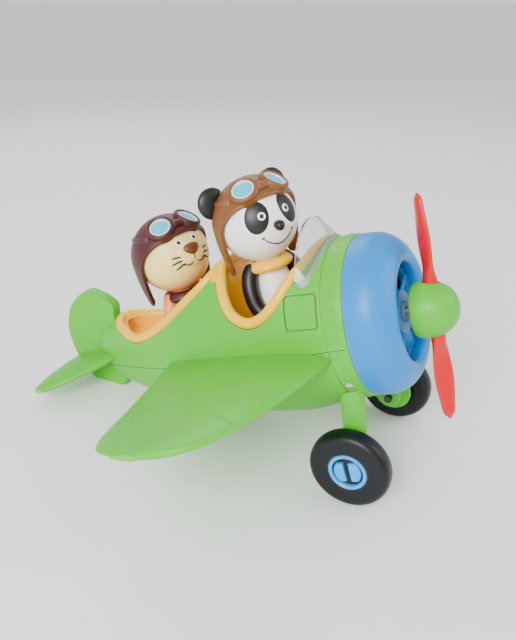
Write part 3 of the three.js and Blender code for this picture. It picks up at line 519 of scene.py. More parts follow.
# The tree's shape on each point, as a plain mesh
def repeated(name, tree, points, turns, size, material):
    mesh = bpy.data.meshes.new(name)
    mesh.from_pydata([tuple(p) for p in points], [], [])
    turn = mesh.attributes.new("turn", "FLOAT_VECTOR", "POINT")
    for i, value in enumerate(turns):
        turn.data[i].vector = value
    made = bpy.data.objects.new(name, mesh)
    bpy.context.scene.collection.objects.link(made)
    step = made.modifiers.new(name, "NODES")
    step.node_group = tree
    sockets = {s.name: s.identifier for s in tree.interface.items_tree if s.in_out == "INPUT"}
    step[sockets["Size"]] = size
    step[sockets["Material"]] = material
    return settle(made)


def facing(way):
    return Vector(way).to_track_quat("Z", "Y").to_euler()


# Fuselage

stationAt = smoothTable([[-plane["long"] * row[0], *(nose * v for v in row[1:])] for row in (
    (1, -0.11, -0.42, 0.07, -0.27),
    (0.97, 0.13, -0.53, 0.16, -0.27),
    (0.874, 0.33, -0.75, 0.33, -0.24),
    (0.68, 0.66, -1.02, 0.63, -0.18),
    (0.485, 0.91, -1.18, 0.82, -0.11),
    (0.34, 1.02, -1.2, 0.91, -0.07),
    (0.194, 1.03, -1.18, 0.93, -0.02),
    (0, 1, -1, 0.93, 0),
)])


def girth(x, inset=0.0):
    top, bottom, half, middle = stationAt(min(0, x))
    shrink = min(inset, 0.9 * half)
    return top - shrink, bottom + shrink, half - shrink, middle


def roundAt(x):
    return plane["roundNose"] + (plane["roundness"] - plane["roundNose"]) * min(1, max(0, (-x - 10) / 34))


def bodyLoft(name, inset, rear, front, sides=112, steps=90):
    angles = np.linspace(0, 2 * math.pi, sides, endpoint=False)
    rings = []
    for x in np.linspace(rear, front, steps):
        top, bottom, half, middle = girth(x, inset)
        rise = np.where(np.sin(angles) > 0, top - middle, middle - bottom)
        y = half * power(np.cos(angles), 2 / roundAt(x))
        z = middle + rise * power(np.sin(angles), 2 / roundAt(x))
        rings.append(np.stack((np.full(sides, x), y, z), 1))
    return lofted(name, rings)


def topAt(x, y, inset=0.0):
    top, bottom, half, middle = girth(x, inset)
    share = max(0.0, 1 - abs(y / half) ** roundAt(x))
    return middle + (top - middle) * share ** (1 / roundAt(x))


def sideAt(x, z, inset=0.0):
    top, bottom, half, middle = girth(x, inset)
    rise = top - middle if z > middle else middle - bottom
    share = max(0.0, 1 - abs((z - middle) / rise) ** roundAt(x))
    return half * share ** (1 / roundAt(x))


cockpit = {"rim": 3.1, "rimInset": 1.2, "divider": 79.5, "dividerThick": 6.0, "seat": -24.0, "floor": 2.0,
        "ledge": 2.0,
           "tub": 14.0, "figureGap": 0.6}
edge = softCurve([(-plane["long"] * share, nose * height) for share, height in (
    (0.087, 1.07), (0.104, 0.91), (0.14, 0.77), (0.182, 0.56), (0.223, 0.41), (0.272, 0.355), (0.318, 0.46),
    (0.348, 0.67), (0.368, 0.86), (0.389, 0.955), (0.425, 0.815), (0.494, 0.62), (0.584, 0.38), (0.67,
    0.215),
    (0.748, 0.15), (0.822, 0.25), (0.865, 0.36))], 6)


def opening(name):
    outline = [*edge, (edge[-1][0], 2 * nose), (edge[0][0], 2 * nose)]
    return prism(name, outline, -2 * nose, 2 * nose)


def rimPaths():
    paths = []
    for side in (-1, 1):
        path = [(x, side * sideAt(x, z, cockpit["rimInset"]), z) for x, z in edge]
        path = [p for p in path if abs(p[1]) > 3]
        front, rear = path[0][0] + 2, path[-1][0] - 2
        path.insert(0, (front, -side, topAt(front, 0, cockpit["rimInset"])))
        path.append((rear, -side, topAt(rear, 0, cockpit["rimInset"])))
        paths.append(path)
    x = -cockpit["divider"]
    paths.append([(x, y, topAt(x, y, cockpit["rimInset"] + 0.6)) for y in np.linspace(-22.5, 22.5, 31)])
    return paths


def seamSlab(name, above, shift):
    drop = plane["seamDrop"]
    heights = [(x, plane["seamHeight"] + drop * x + shift) for x in (-far, far)]
    end = far if above else -far
    return prism(name, [*heights, (far, end), (-far, end)], -far, far)


def roundSquare(half, corner=2.2, steps=6):
    outline = []
    for turn in range(4):
        for i in range(steps + 1):
            angle = math.pi / 2 * (turn + i / steps)
            cx = (half - corner) * (1 if turn in (0, 3) else -1)
            cz = (half - corner) * (1 if turn in (0, 1) else -1)
            outline.append((cx + corner * math.cos(angle), cz + corner * math.sin(angle)))
    return outline


hatch = {"size": 18.5, "groove": 0.9, "x": -23.0, "z": 18.5, "tilt": 0.32, "deep": 1.6, "corner": 2.2,
         "pinX": 6.6, "pinZ": 6.4, "pin": (0.7, 0.7, 0.22)}


# A rounded square block cut from the skin between two depths
def hatchBlock(side, half, outer, inner):
    made = prism("hatchBlock", roundSquare(half, hatch["corner"]), -8, 8)
    y = side * sideAt(hatch["x"], hatch["z"], plane["wall"])
    made.data.transform(Matrix.Translation((hatch["x"], y,
            hatch["z"])) @ Matrix.Rotation(side * hatch["tilt"], 4, "X"))
    combine(made, [bodyLoft("skin", outer, -60, 5, steps=40)], "INTERSECT")
    return combine(made, [bodyLoft("skinCore", inner, -61, 6, steps=40)])


shell = bodyLoft("shell", 0, -plane["long"], 0)
rims = [tube("rimGap", path, cockpit["rim"] + 0.35, 20) for path in rimPaths()[:2]]
pockets = [hatchBlock(side, hatch["size"] / 2 + 0.35, -1, hatch["deep"]) for side in (-1, 1)]
angles = np.linspace(0, 2 * math.pi, 120, endpoint=False)
groovePath = [(-11.3, 1.005 * flatten * nose * math.cos(a), 1.005 * nose * math.sin(a)) for a in angles]
shell = combine(shell, [
    bodyLoft("hollow", plane["wall"], -plane["long"] + 4 * plane["wall"], 1, sides=80, steps=60),
    opening("opening"), *rims, *pockets, tube("bandGroove", groovePath, 0.7, 10, closed=True),
])
lower = copyOf(shell, "lowerShell")
combine(shell, [seamSlab("below", False, 0.25)])
combine(lower, [seamSlab("above", True, -0.25)])
place(shell, "fuselageUpper", "airframe", finishes["green"], "green_plastic", ["fuselage_upper"])
place(lower, "fuselageLower", "airframe", finishes["green"], "green_plastic", ["fuselage_lower"])

band = {"wide": 10.7, "proud": 0.6, "rivets": 36, "rivetRadius": 1.25, "rivetHigh": 0.75}
r = nose + band["proud"]
ring = turned("band", [(r - 2.2, -band["wide"]), (r - 0.5, -band["wide"]), (r - 0.12, -band["wide"] + 0.15),
                       (r, -band["wide"] + 0.6), (r, -0.8), (r - 0.15, -0.3), (r - 0.6, -0.1), (r - 2.2,
                       -0.1)],
              144, squeeze=flatten)
notch = prism("notch", [(-12, -2.4), (2, -1.4), (2, -0.9), (-12, -1.9)], -60, 60)
place(combine(ring, [notch]), "noseBand", "airframe", finishes["green"], "green_plastic")
angles = [math.radians(5 + 360 / band["rivets"] * i) for i in range(band["rivets"])]
rivets = repeated(
    "rivets", domeTree,
    [(-band["wide"] / 2, flatten * r * math.cos(a), r * math.sin(a)) for a in angles],
    [facing((0, math.cos(a) / flatten, math.sin(a))) for a in angles],
    (band["rivetRadius"], band["rivetRadius"], band["rivetHigh"]), finishes["green"],
)
place(rivets, "bandRivets", "airframe", finishes["green"], "green_plastic")
for side, word in ((1, "Left"), (-1, "Right")):
    panel = hatchBlock(side, hatch["size"] / 2 - hatch["groove"] / 2 - 0.3, 0, hatch["deep"] + 0.1)
    place(panel, "hatch" + word, "airframe", finishes["green"], "green_plastic", ["hatch_" + word.lower()])
    corners = [(hatch["x"] + hatch["pinX"] * i, hatch["z"] + hatch["pinZ"] * j) for i in (-1,
            1) for j in (-1, 1)]
    corners = [(x, side * sideAt(x, z), z) for x, z in corners]
    pins = repeated("pins", domeTree, corners, [facing((0, side, 0.35))] * 4, hatch["pin"],
            finishes["green"])
    place(pins, "hatchPins" + word, "airframe", finishes["green"], "green_plastic")
print("fuselage done")


# Cockpit liner with its rim, and the windscreen

def linerPart(extra, core):
    rear, front = edge[-1][0] - 1, edge[0][0] + cockpit["rim"]
    inset = plane["wall"] + 1
    if core:
        made = bodyLoft("tub", cockpit["tub"] + extra, -0.74 * plane["long"] + extra, front - 4 - extra,
                72, 30)
        low, high = cockpit["seat"] + extra, cockpit["ledge"] + 2 * extra + 0.1
    else:
        made = bodyLoft("well", inset + extra, rear + extra, front - extra, 96, 60)
        low, high = cockpit["ledge"] + extra, 2 * nose
    return combine(made, [block("slice", (rear - 5, -far, low), (front + 5, far, high))], "INTERSECT")


liner = combine(linerPart(0, False), [linerPart(0, True)], "UNION")
whole = copyOf(liner, "whole")
combine(liner, [linerPart(2.0, False), linerPart(2.0, True)])
x, thick = -cockpit["divider"], cockpit["dividerThick"] / 2
divider = combine(block("divider", (x - thick, -far, cockpit["seat"]), (x + thick, far, far)), [whole],
        "INTERSECT")
combine(liner, [divider], "UNION")
combine(liner, [opening("openingAgain")])
place(liner, "cockpitTub", "airframe", finishes["yellow"], "yellow_plastic", ["cockpit_liner"])
rim = merged("rim", [tube("rimHalf", path, cockpit["rim"], 28) for path in rimPaths()])
place(rim, "cockpitRim", "airframe", finishes["yellow"], "yellow_plastic")

screen = {"half": 31.2, "front": -12.2, "sweep": 10.5, "high": 12.65, "lean": 10.5, "thick": 1.5,
        "sunk": 1.2}


# The bent windscreen between two heights above its foot
def screenSheet(name, low, high, thick):
    def point(across, up, out):
        fade = (1 - abs(across) ** 2.5) ** 1.2
        y = screen["half"] * math.sin(across * math.pi / 2)
        x = screen["front"] - screen["sweep"] * across**2
        tall = screen["sunk"] + 1.5 + screen["high"] * fade
        turn = 1.25 * across
        base = topAt(x, min(abs(y), screen["half"])) - screen["sunk"]
        return (
            x - up * screen["lean"] * (0.35 + 0.65 * fade) - out * thick * math.cos(turn),
            y * (1 - 0.1 * up * fade) - out * thick * math.sin(turn),
            base + up * tall,
        )

    rings = []
    for across in np.linspace(-1, 1, 73):
        fade = (1 - abs(across) ** 2.5) ** 1.2
        rise = screen["sunk"] + 1.5 + screen["high"] * fade
        span = np.linspace(low / rise, min(1, high / rise), 10)
        ring = [point(across, u, 0.5) for u in span] + [point(across, u, -0.5) for u in span[::-1]]
        rings.append(ring)
    return lofted(name, rings)


place(screenSheet("screen", 0, 99, screen["thick"]), "windscreenSheet", "airframe", finishes["clear"],
      "clear_plastic", ["windscreen"])
place(screenSheet("foot", 0.2, 2.7, screen["thick"] + 0.7), "windscreenFoot", "airframe", finishes["foot"],
      "clear_plastic")
print("cockpit done")


# Nose: cowl, grille, spinner and propeller

cowl = {"outer": [(45, 0.3), (45.1, 6), (44.3, 11.9), (41.6, 17.1), (37.8, 20.9), (33.8, 23.2), (31, 23.8),
                  (28.4, 23.1), (27.05, 21.6)],
        "inner": [(27, 19.5), (27.4, 17.6), (29.3, 16.6), (29.3, 10.7), (39, 9), (42, 4), (42, 0.3)]}
profile = np.vstack([softCurve(cowl["outer"], 5), cowl["inner"]])
place(turned("cowl", profile, 144, squeeze=flatten), "engineCowl", "airframe", finishes["blue"],
        "blue_plastic",
      ["engine_cowl"])
grille = {"vanes": 8, "low": 11.0, "high": 15.0, "outer": 29.0, "inner": 27.0, "hub": 12.0, "hubInner": 5.8,
          "hubLong": 4.0, "vane": (2.2, 17.5, 7.5), "tilt": 0.5, "vaneAt": 19.75}
low, high, inner, outer = (grille[key] for key in ("low", "high", "inner", "outer"))
bore, hubRadius, hubEnd = grille["hubInner"], grille["hub"], high + grille["hubLong"]
outerRing = turned("grilleRing", [(inner, low), (outer, low), (outer, high - 0.4), (outer - 0.4, high),
                                  (inner + 0.3, high), (inner, high - 0.3)], 120, squeeze=flatten)
grilleHub = turned("grilleHub", [(bore, low), (hubRadius, low), (hubRadius, hubEnd - 0.7),
        (hubRadius - 0.7, hubEnd),
                                 (bore, hubEnd)], 72)
# A near-black disc just behind the vanes: painted shade over the blue bulkhead there.
backDisc = turned("grilleBack", [(bore, low - 0.2), (outer - 1, low - 0.2), (outer - 1, low + 0.6),
                                 (bore, low + 0.6)], 72, squeeze=flatten)
centres, turns = [], []
for i in range(grille["vanes"]):
    angle = 2 * math.pi * (i + 0.5) / grille["vanes"]
    centres.append(((low + high) / 2 + 1, grille["vaneAt"] * math.cos(angle),
            grille["vaneAt"] * math.sin(angle)))
    turns.append((Matrix.Rotation(angle, 3, "X") @ Matrix.Rotation(grille["tilt"], 3, "Y")).to_euler())
vanes = repeated("vanes", slatTree, centres, turns, grille["vane"], finishes["blue"])
vanes.data.transform(Matrix.Diagonal((1, flatten, 1, 1)))
place(softened(vanes, 0.35), "grilleVanes", "airframe", finishes["blue"], "blue_plastic")
place(merged("grille", [outerRing, grilleHub]), "cowlGrille", "airframe", finishes["blue"], "blue_plastic",
      ["cowl_grille"])
place(backDisc, "grilleShade", "airframe", finishes["recess"], "blue_plastic")

prop = {"turn": 9.46, "long": 61.1, "hub": 8.0, "root": 4.3, "spinner": [(0, 0), (13.9, 0), (14.6, 0.25),
        (15, 1),
        (15.45, 3.6), (15.3, 7.65), (14.25, 12.4), (12, 16.65), (8.7, 20), (4.5, 22), (0, 22.5)],
        "spinnerBack": 25.2}
bladeAt = smoothTable([[prop["long"] * share, *rest] for share, *rest in (
    (0, 4.3, 4.3, 0.2), (0.25, 4.3, 3.87, 0.35), (0.4, 4.83, 2, 0.75), (0.62, 5.75, 1.8, 0.8),
    (0.85, 4.6, 1.8, 0.7), (0.96, 3.22, 1.68, 0.65), (1, 1.15, 0.6, 0.65))])


def blade(side):
    angles = np.linspace(0, 2 * math.pi, 56, endpoint=False)
    rings = []
    for out in prop["long"] * (1 - (1 - np.linspace(0, 1, 90)) ** 1.5):
        half, thick, twist = bladeAt(out)
        across, deep = half * np.cos(angles), thick * np.sin(angles)
        rings.append(np.stack((
            side * (deep * math.cos(twist) - across * math.sin(twist)),
            deep * math.sin(twist) + across * math.cos(twist),
            np.full(len(angles), side * out)), 1))
    return lofted("blade", rings)


spin = Matrix.Translation((plane["propPlane"], 0, 0)) @ Matrix.Rotation(-math.radians(prop["turn"]), 4, "X")
blades = combine(blade(1), [blade(-1), turned("hub", [(0, -5.5), (8, -5.5), (8, 5.5), (0, 5.5)], 64)],
        "UNION")
place(blades, "propellerBlades", "propeller_assembly", finishes["red"], "red_plastic", ["propeller"], spin)
curve = np.vstack([prop["spinner"][:1], softCurve(prop["spinner"][1:], 5)])
curve[:, 1] += prop["spinnerBack"] - plane["propPlane"]
spinner = combine(turned("spinner", curve, 112),
                  [bar("bladeHole", (0, 0, -30), (0, 0, 30), prop["root"] + 0.35)])
place(spinner, "spinnerCone", "propeller_assembly", finishes["green"], "green_plastic", ["spinner"], spin)
print("nose done")


# Wings, tailplanes and fin

wing = {"span": 140.0, "root": 30.15, "groove": 0.55}
wingAt = smoothTable([[wing["span"] * share, *rest] for share, *rest in (
    (0, -9, -130, -9.5, 19), (0.26, -11, -122, -8, 17.5), (0.5, -17, -113, -6.5, 14.5),
    (0.7, -23.5, -106.5, -5, 11.8), (0.82, -31, -103, -4, 10), (0.91, -39, -98.5, -3.2, 8.6),
    (0.97, -51, -91, -2.5, 7), (1, -64, -80, -2, 4.5))])


def wingLoft(side):
    angles = np.linspace(0, 2 * math.pi, 112, endpoint=False)
    rings = []
    steps = 1 - (1 - np.linspace(0, 1, 90)) ** 1.6
    for out in wing["root"] + (wing["span"] - wing["root"]) * steps:
        lead, trail, height, thick = wingAt(out)
        share = power(np.cos(angles), 0.92)
        z = height + 0.5 * thick * (0.72 + 0.28 * share) * power(np.sin(angles), 0.9)
        x = (lead + trail) / 2 + (lead - trail) / 2 * share
        rings.append(np.stack((x, np.full(len(angles), side * out), z), 1))
    return lofted("wing", rings)


def wingTop(x, out):
    lead, trail, height, thick = wingAt(out)
    share = np.clip((x - (lead + trail) / 2) / ((lead - trail) / 2), -1, 1)
    rise = math.sin(math.acos(np.sign(share) * abs(share) ** (1 / 0.92)))
    return height + 0.5 * thick * (0.72 + 0.28 * share) * rise**0.9


def wingGroove(side, line, radius):
    path = [(x, side * out, wingTop(x, out) + 0.1) for x, out in softCurve(line, 10)]
    return tube("groove", path, radius, 10)


chordLine = [(-72, 46), (-78.9, 54.9), (-84, 70), (-86.8, 84), (-88.5, 97), (-90.3, 106)]
tipLine = [(-92, 107.5), (-82.6, 104.6), (-68.8, 102.9), (-52.5, 104.4), (-37.7, 108.6), (-29.5, 111.3)]
tail = {"span": 48.0, "end": -206.0, "thick": 8.0, "edge": 1.9}
tailAt = smoothTable([[tail["span"] * share, tail["end"] + lead, tail["end"] + trail, *rest]
                      for share, lead, trail, *rest in (
    (0, 23, -23, -10.5, 10), (0.3, 17, -25, -11, 9.5), (0.6, 6, -27.5, -12.5, 8.5), (0.82, -4, -28.5, -14,
    7),
    (0.94, -12, -28, -15, 5.6), (1, -19, -26, -15.5, 3.5))])


def tailLoft(side):
    angles = np.linspace(0, 2 * math.pi, 80, endpoint=False)
    rings = []
    for out in tail["span"] * (1 - (1 - np.linspace(0, 1, 60)) ** 1.7):
        lead, trail, height, thick = tailAt(out)
        share = np.cos(angles)
        z = height + thick / 2 * (0.8 + 0.2 * share) * power(np.sin(angles), 0.9)
        x = (lead + trail) / 2 + (lead - trail) / 2 * share
        rings.append(np.stack((x, np.full(len(angles), side * out), z), 1))
    return lofted("tailplane", rings)


for side, word in ((1, "Left"), (-1, "Right")):
    made = wingLoft(side)
    combine(made, [bodyLoft("clearance", -plane["gap"], -plane["long"], 0),
                   wingGroove(side, chordLine, wing["groove"]), wingGroove(side, tipLine, 0.75)])
    place(made, "wing" + word, "airframe", finishes["green"], "green_plastic", ["wing_" + word.lower()])
    made = tailLoft(side)
    combine(made, [bodyLoft("clearance", -plane["gap"], -plane["long"] - 0.3, 0),
                   block("finSlot", (-far, -tail["thick"] / 2 - 0.3, -far), (0, tail["thick"] / 2 + 0.3,
                   far))])
    place(made, "tailplane" + word, "airframe", finishes["green"], "green_plastic",
            ["tailplane_" + word.lower()])
outline = softCurve([(tail["end"] + 0.05 + x, z) for x, z in (
    (24, 4), (24.5, 16), (26.5, 24), (22, 30), (15.7, 34.3), (10, 37), (3, 36.6), (-7, 31.5), (-14.3, 25.1),
    (-20.5, 15), (-23, 4), (-22.5, -10), (-19.5, -20), (-13, -28.5), (-5, -34.5), (1.3, -36), (8.5, -36),
    (15, -32), (20, -22), (22, 0))], 8, closed=True)
fin = softened(prism("fin", outline, -tail["thick"] / 2, tail["thick"] / 2), tail["edge"], 50, 6)
ground = [(x, -(planeFrame.translation.z * 1000 + x * math.sin(pitch)) / math.cos(pitch)) for x in (-far,
        far)]
combine(fin, [prism("ground", [*ground, (far, -far), (-far, -far)], -far, far)])
place(fin, "tailFin", "airframe", finishes["green"], "green_plastic", ["tail_fin"])
print("wings and tail done")


# Undercarriage

gear = {"x": -13.4, "z": -68.8, "track": 46.6, "topX": -10.5, "topY": 24.0, "topZ": -25.0, "legY": 34.6,
        "long": 6.5, "wide": 4.5, "bossStart": 29.4, "bossEnd": 39.1, "boss": 7.2, "disc": 11.8,
        "discThick": 3.0, "hole": 2.6, "holeDeep": 1.6}
wheel = {"radius": 22.7, "half": 6.0, "lip": 10.95, "ring": 10.7, "recess": 8.7, "pad": 7.6,
        "padCut": 5.4, "slot": 1.6, "bead": 17.5, "seat": 15.4, "bore": 3.2, "hubHalf": 5.0}
for side, word in ((1, "Left"), (-1, "Right")):
    rings = []
    for z in np.linspace(gear["z"], gear["topZ"], 40):
        share = (z - gear["z"]) / (gear["topZ"] - gear["z"])
        fat = 1 + 0.12 * share
        angles = np.linspace(0, 2 * math.pi, 56, endpoint=False)
        x = gear["x"] + (gear["topX"] - gear["x"]) * share + gear["long"] * fat * np.cos(angles)
        y = side * (gear["legY"] + (gear["topY"] - gear["legY"]) * share) + gear["wide"] * fat * np.sin(angles)
        rings.append(np.stack((x, y, np.full(len(angles), z)), 1))
    leg = lofted("leg", rings)
    start, end, thin, disc, hole = (gear[key] for key in ("bossStart", "bossEnd", "boss", "disc", "hole"))
    discStart, holeEnd = end - gear["discThick"], end - gear["holeDeep"]
    boss = turned("boss", [
        (0, start), (thin - 0.6, start), (thin, start + 0.6), (thin, discStart), (disc - 0.6, discStart),
        (disc, discStart + 0.6), (disc, end - 0.5), (disc - 0.5, end), (hole, end), (hole, holeEnd), (0,
        holeEnd),
    ], 72, "y")
    boss.data.transform(Matrix.Diagonal((1, side, 1, 1)))
    boss.data.transform(Matrix.Translation((gear["x"], 0, gear["z"])))
    if side < 0:
        boss.data.flip_normals()
    combine(leg, [bodyLoft("clearance", -plane["gap"], -plane["long"], 0)])
    combine(leg, [boss], "UNION")
    place(leg, "gearStrut" + word, "airframe", finishes["green"], "green_plastic",
            ["gear_strut_" + word.lower()])

    body = "wheel_" + word.lower()
    centre = Matrix.Translation((gear["x"], side * gear["track"], gear["z"]))
    if side < 0:
        centre = centre @ Matrix.Rotation(math.pi, 4, "Z")
    half, lip = wheel["half"], wheel["lip"]
    bulge = []
    for i in range(33):
        angle = math.pi * i / 32
        out = wheel["bead"] + (wheel["radius"] - wheel["bead"]) * math.sin(angle) ** 0.75
        bulge.append((out, -half * power(math.cos(angle), 0.8)))
    tyreProfile = [(lip, -5.1), (lip + 0.15, -5.6), (lip + 0.7, -5.85), (14, -half + 0.02), *bulge, (14,
            half - 0.02),
                   (lip + 0.7, 5.85), (lip + 0.15, 5.6), (lip, 5.1), (wheel["seat"], 5.05),
                   (wheel["seat"], -5.05)]
    place(turned("tyre", tyreProfile, 128, "y"), "tyre" + word, body, finishes["tyre"], "tyre_rubber",
          ["tyre_" + word.lower()], centre)
    bore, seat, face, deep = wheel["bore"], wheel["seat"] - 0.1, wheel["hubHalf"], wheel["recess"]
    hubProfile = [(bore, -face), (seat, -face), (seat, face), (10.85, face), (wheel["ring"], 5.5), (10.2,
            5.95),
                  (9.3, 5.9), (deep, 5.3), (deep, 2.6), (6.2, 2.6), (6.2, 0), (bore, 0)]
    place(turned("hub", hubProfile, 96, "y"), "wheelHub" + word, body, finishes["hub"], "hub_plastic",
          ["wheel_hub_" + word.lower()], centre)
    # A near-black disc in the cap's recess, seen through the slot: painted shade, not the hub's own colour.
    recess = turned("recess", [(0, 2.9), (deep - 0.1, 2.9), (deep - 0.1, 3.6), (0, 3.6)], 64, "y")
    place(recess, "capRecess" + word, body, finishes["recess"], "hub_plastic", (), centre)
    pad, slot, padCut = wheel["pad"], wheel["slot"], wheel["padCut"]
    pads = turned("pads", [(0, 3.2), (pad, 3.2), (pad, 5.0), (pad - 0.4, 5.5), (0, 5.8)], 80, "y")
    combine(pads, [block("slot", (-slot, 0, -20), (slot, 20, 20)), block("topCut", (-20, 0, padCut), (20,
            20, 20)),
                   block("lowCut", (-20, 0, -20), (20, 20, -padCut))])
    place(softened(pads, 0.25), "capPads" + word, body, finishes["hub"], "hub_plastic",
          ["wheel_cap_" + word.lower()], centre)
print("undercarriage done")


# The two figures

# Faces: azimuth and lift in degrees from the face's own axis, then half sizes and how far a pad stands proud
pandaFace = {
    "patch": {"azimuth": 27, "lift": 12, "wide": 7.0, "high": 9.4, "proud": 0.35, "tilt": 14},
    "eye": {"azimuth": 20, "lift": 12.5, "size": 2.3, "pupil": 1.25},
    "nose": {"lift": -6, "size": 2.9, "proud": 4.2, "point": 0.22},
    "smile": [(-26, -17), (-19, -25), (-9, -31), (0, -33), (9, -31), (19, -25), (26, -17)],
    "smileEnd": [(28, -19), (23, -15.5)],
}
lionFace = {
    "muzzle": {"lift": 3, "wide": 10.5, "high": 8.5, "proud": 1.6},
    "eye": {"azimuth": 16, "lift": 24, "size": 2.2, "pupil": 1.2},
    "nose": {"lift": 9.5, "wide": 5.3, "high": 3.6, "proud": 2.4, "point": 0.3},
    "mouth": [(0, -5), (5, -10), (12, -11.5), (20, -8)],
    "whiskers": [(9, 34, 4), (10, 36, -5), (10, 32, -14)],
    "whisker": 0.52,
}

figureSize = {"head": 23.0, "cap": 2.6, "neck": 8.0, "goggle": 8.6, "goggleWall": 2.4, "lift": 0.88,
        "swing": 0.65,
              "strapLift": 38, "strap": 1.7, "bridge": 2.4, "snapRows": (3.0, -9.5), "snap": (0.55, 0.55,
              0.4)}
figures = {
    "panda": {"x": -0.2655 * plane["long"], "turn": -33, "headUp": 84.8, "trunk": 14.0,
    "body": "panda_pilot",
              "cap": "tan", "capSlot": "tan_vinyl", "skin": "white", "skinSlot": "panda_white",
              "arm": "black"},
    "lion": {"x": -0.581 * plane["long"], "turn": -22, "headUp": 73.3, "trunk": 12.5,
    "body": "lion_passenger",
             "cap": "maroon", "capSlot": "maroon_vinyl", "skin": "cream", "skinSlot": "lion_cream",
             "arm": "cream"},
}
head = figureSize["head"]


def onHead(azimuth, lift, reach):
    a, e = math.radians(azimuth), math.radians(lift)
    return np.array((math.cos(e) * math.cos(a), math.cos(e) * math.sin(a), math.sin(e))) * reach


# A rounded pad on the head, its middle at two angles from the face's own axis
def facePad(azimuth, lift, wide, high, proud, tilt=0.0, base=head, point=0.0, sides=56, rows=12):
    out = onHead(azimuth, lift, 1)
    across = np.cross((0, 0, 1), out)
    across /= np.linalg.norm(across)
    up = np.cross(out, across)
    c, s = math.cos(math.radians(tilt)), math.sin(math.radians(tilt))
    rings = []
    for share, sink in [(1.0, -0.5)] + [(math.cos(math.pi / 2 * k / rows), 0) for k in range(rows)]:
        ring = []
        for i in range(sides):
            angle = 2 * math.pi * i / sides
            u, v = wide * math.cos(angle), high * math.sin(angle)
            u *= 1 + point * math.sin(angle)
            u, v = share * (u * c - v * s), share * (u * s + v * c)
            spot = out * base + across * u + up * v
            spot /= np.linalg.norm(spot)
            rise = proud * max(0.0, 1 - share**2) ** 0.5 if sink == 0 else sink
            ring.append(spot * (base + rise))
        rings.append(ring)
    return lofted("pad", rings)


# A thin painted line through spots on the head
def faceLine(spots, radius, reach=head):
    line = [onHead(azimuth, lift, reach + 0.05) for azimuth, lift in spots]
    path = softCurve(line, 8)
    sizes = radius * (0.35 + 0.65 * np.sin(np.linspace(0.12, math.pi - 0.12, len(path))) ** 0.4)
    return tube("line", path, sizes, 10)


# Angle round from the face, and the height angle of the cap's edge there
capEdge = [(0, 37), (16, 36), (31, 34), (54, 28), (66, 21), (74, 14), (82, 3), (88, -9), (91, -24), (94,
        -38),
           (98, -42), (111, -42), (115, -37), (119, -28), (125, -24), (140, -24), (180, -24)]


# One skin from the crown down to the cap's edge, rolled over there, with a flap over each ear
def capShell():
    thick, clear = figureSize["cap"], 0.15
    across = np.linspace(-180, 180, 288, endpoint=False)
    edgeAt = np.interp(abs(across), *zip(*capEdge))
    edgeAt = sum(np.roll(edgeAt, k) for k in range(-2, 3)) / 5
    hang = np.clip((abs(across) - 78) / 12, 0, 1) * np.clip((132 - abs(across)) / 14, 0, 1)
    hang = hang * hang * (3 - 2 * hang)

    def ring(lifts, reach):
        a, e = np.radians(across), np.radians(lifts)
        level = np.cos(e) ** np.where(e < 0, 1 - 0.6 * hang, 1)
        high = np.sin(e) * np.where(e < 0, 1 + 0.5 * hang, 1)
        return np.stack((level * np.cos(a), level * np.sin(a), high), 1) * np.reshape(reach, (-1, 1))

    steps = np.linspace(0.02, 1, 60)
    outerReach, innerReach = head + thick, head + clear
    rings = [ring(90 + (edgeAt - 90) * t, np.full(len(across), outerReach)) for t in steps]
    for k in range(1, 6):
        turn = math.pi * k / 6
        reach = (outerReach + innerReach) / 2 + (outerReach - innerReach) / 2 * math.cos(turn)
        rings.append(ring(edgeAt - 2.6 * math.sin(turn), np.full(len(across), reach)))
    rings += [ring(90 + (edgeAt - 90) * t, np.full(len(across), innerReach)) for t in steps[::-1]]
    return lofted("capShell", rings)


def goggleMatrix(side):
    lift, swing = figureSize["lift"], side * figureSize["swing"]
    out = Vector((math.cos(lift) * math.cos(swing), math.cos(lift) * math.sin(swing), math.sin(lift)))
    return Matrix.Translation(out * (head + figureSize["cap"] - 0.6)) @ out.to_track_quat("Z",
            "Y").to_matrix().to_4x4()


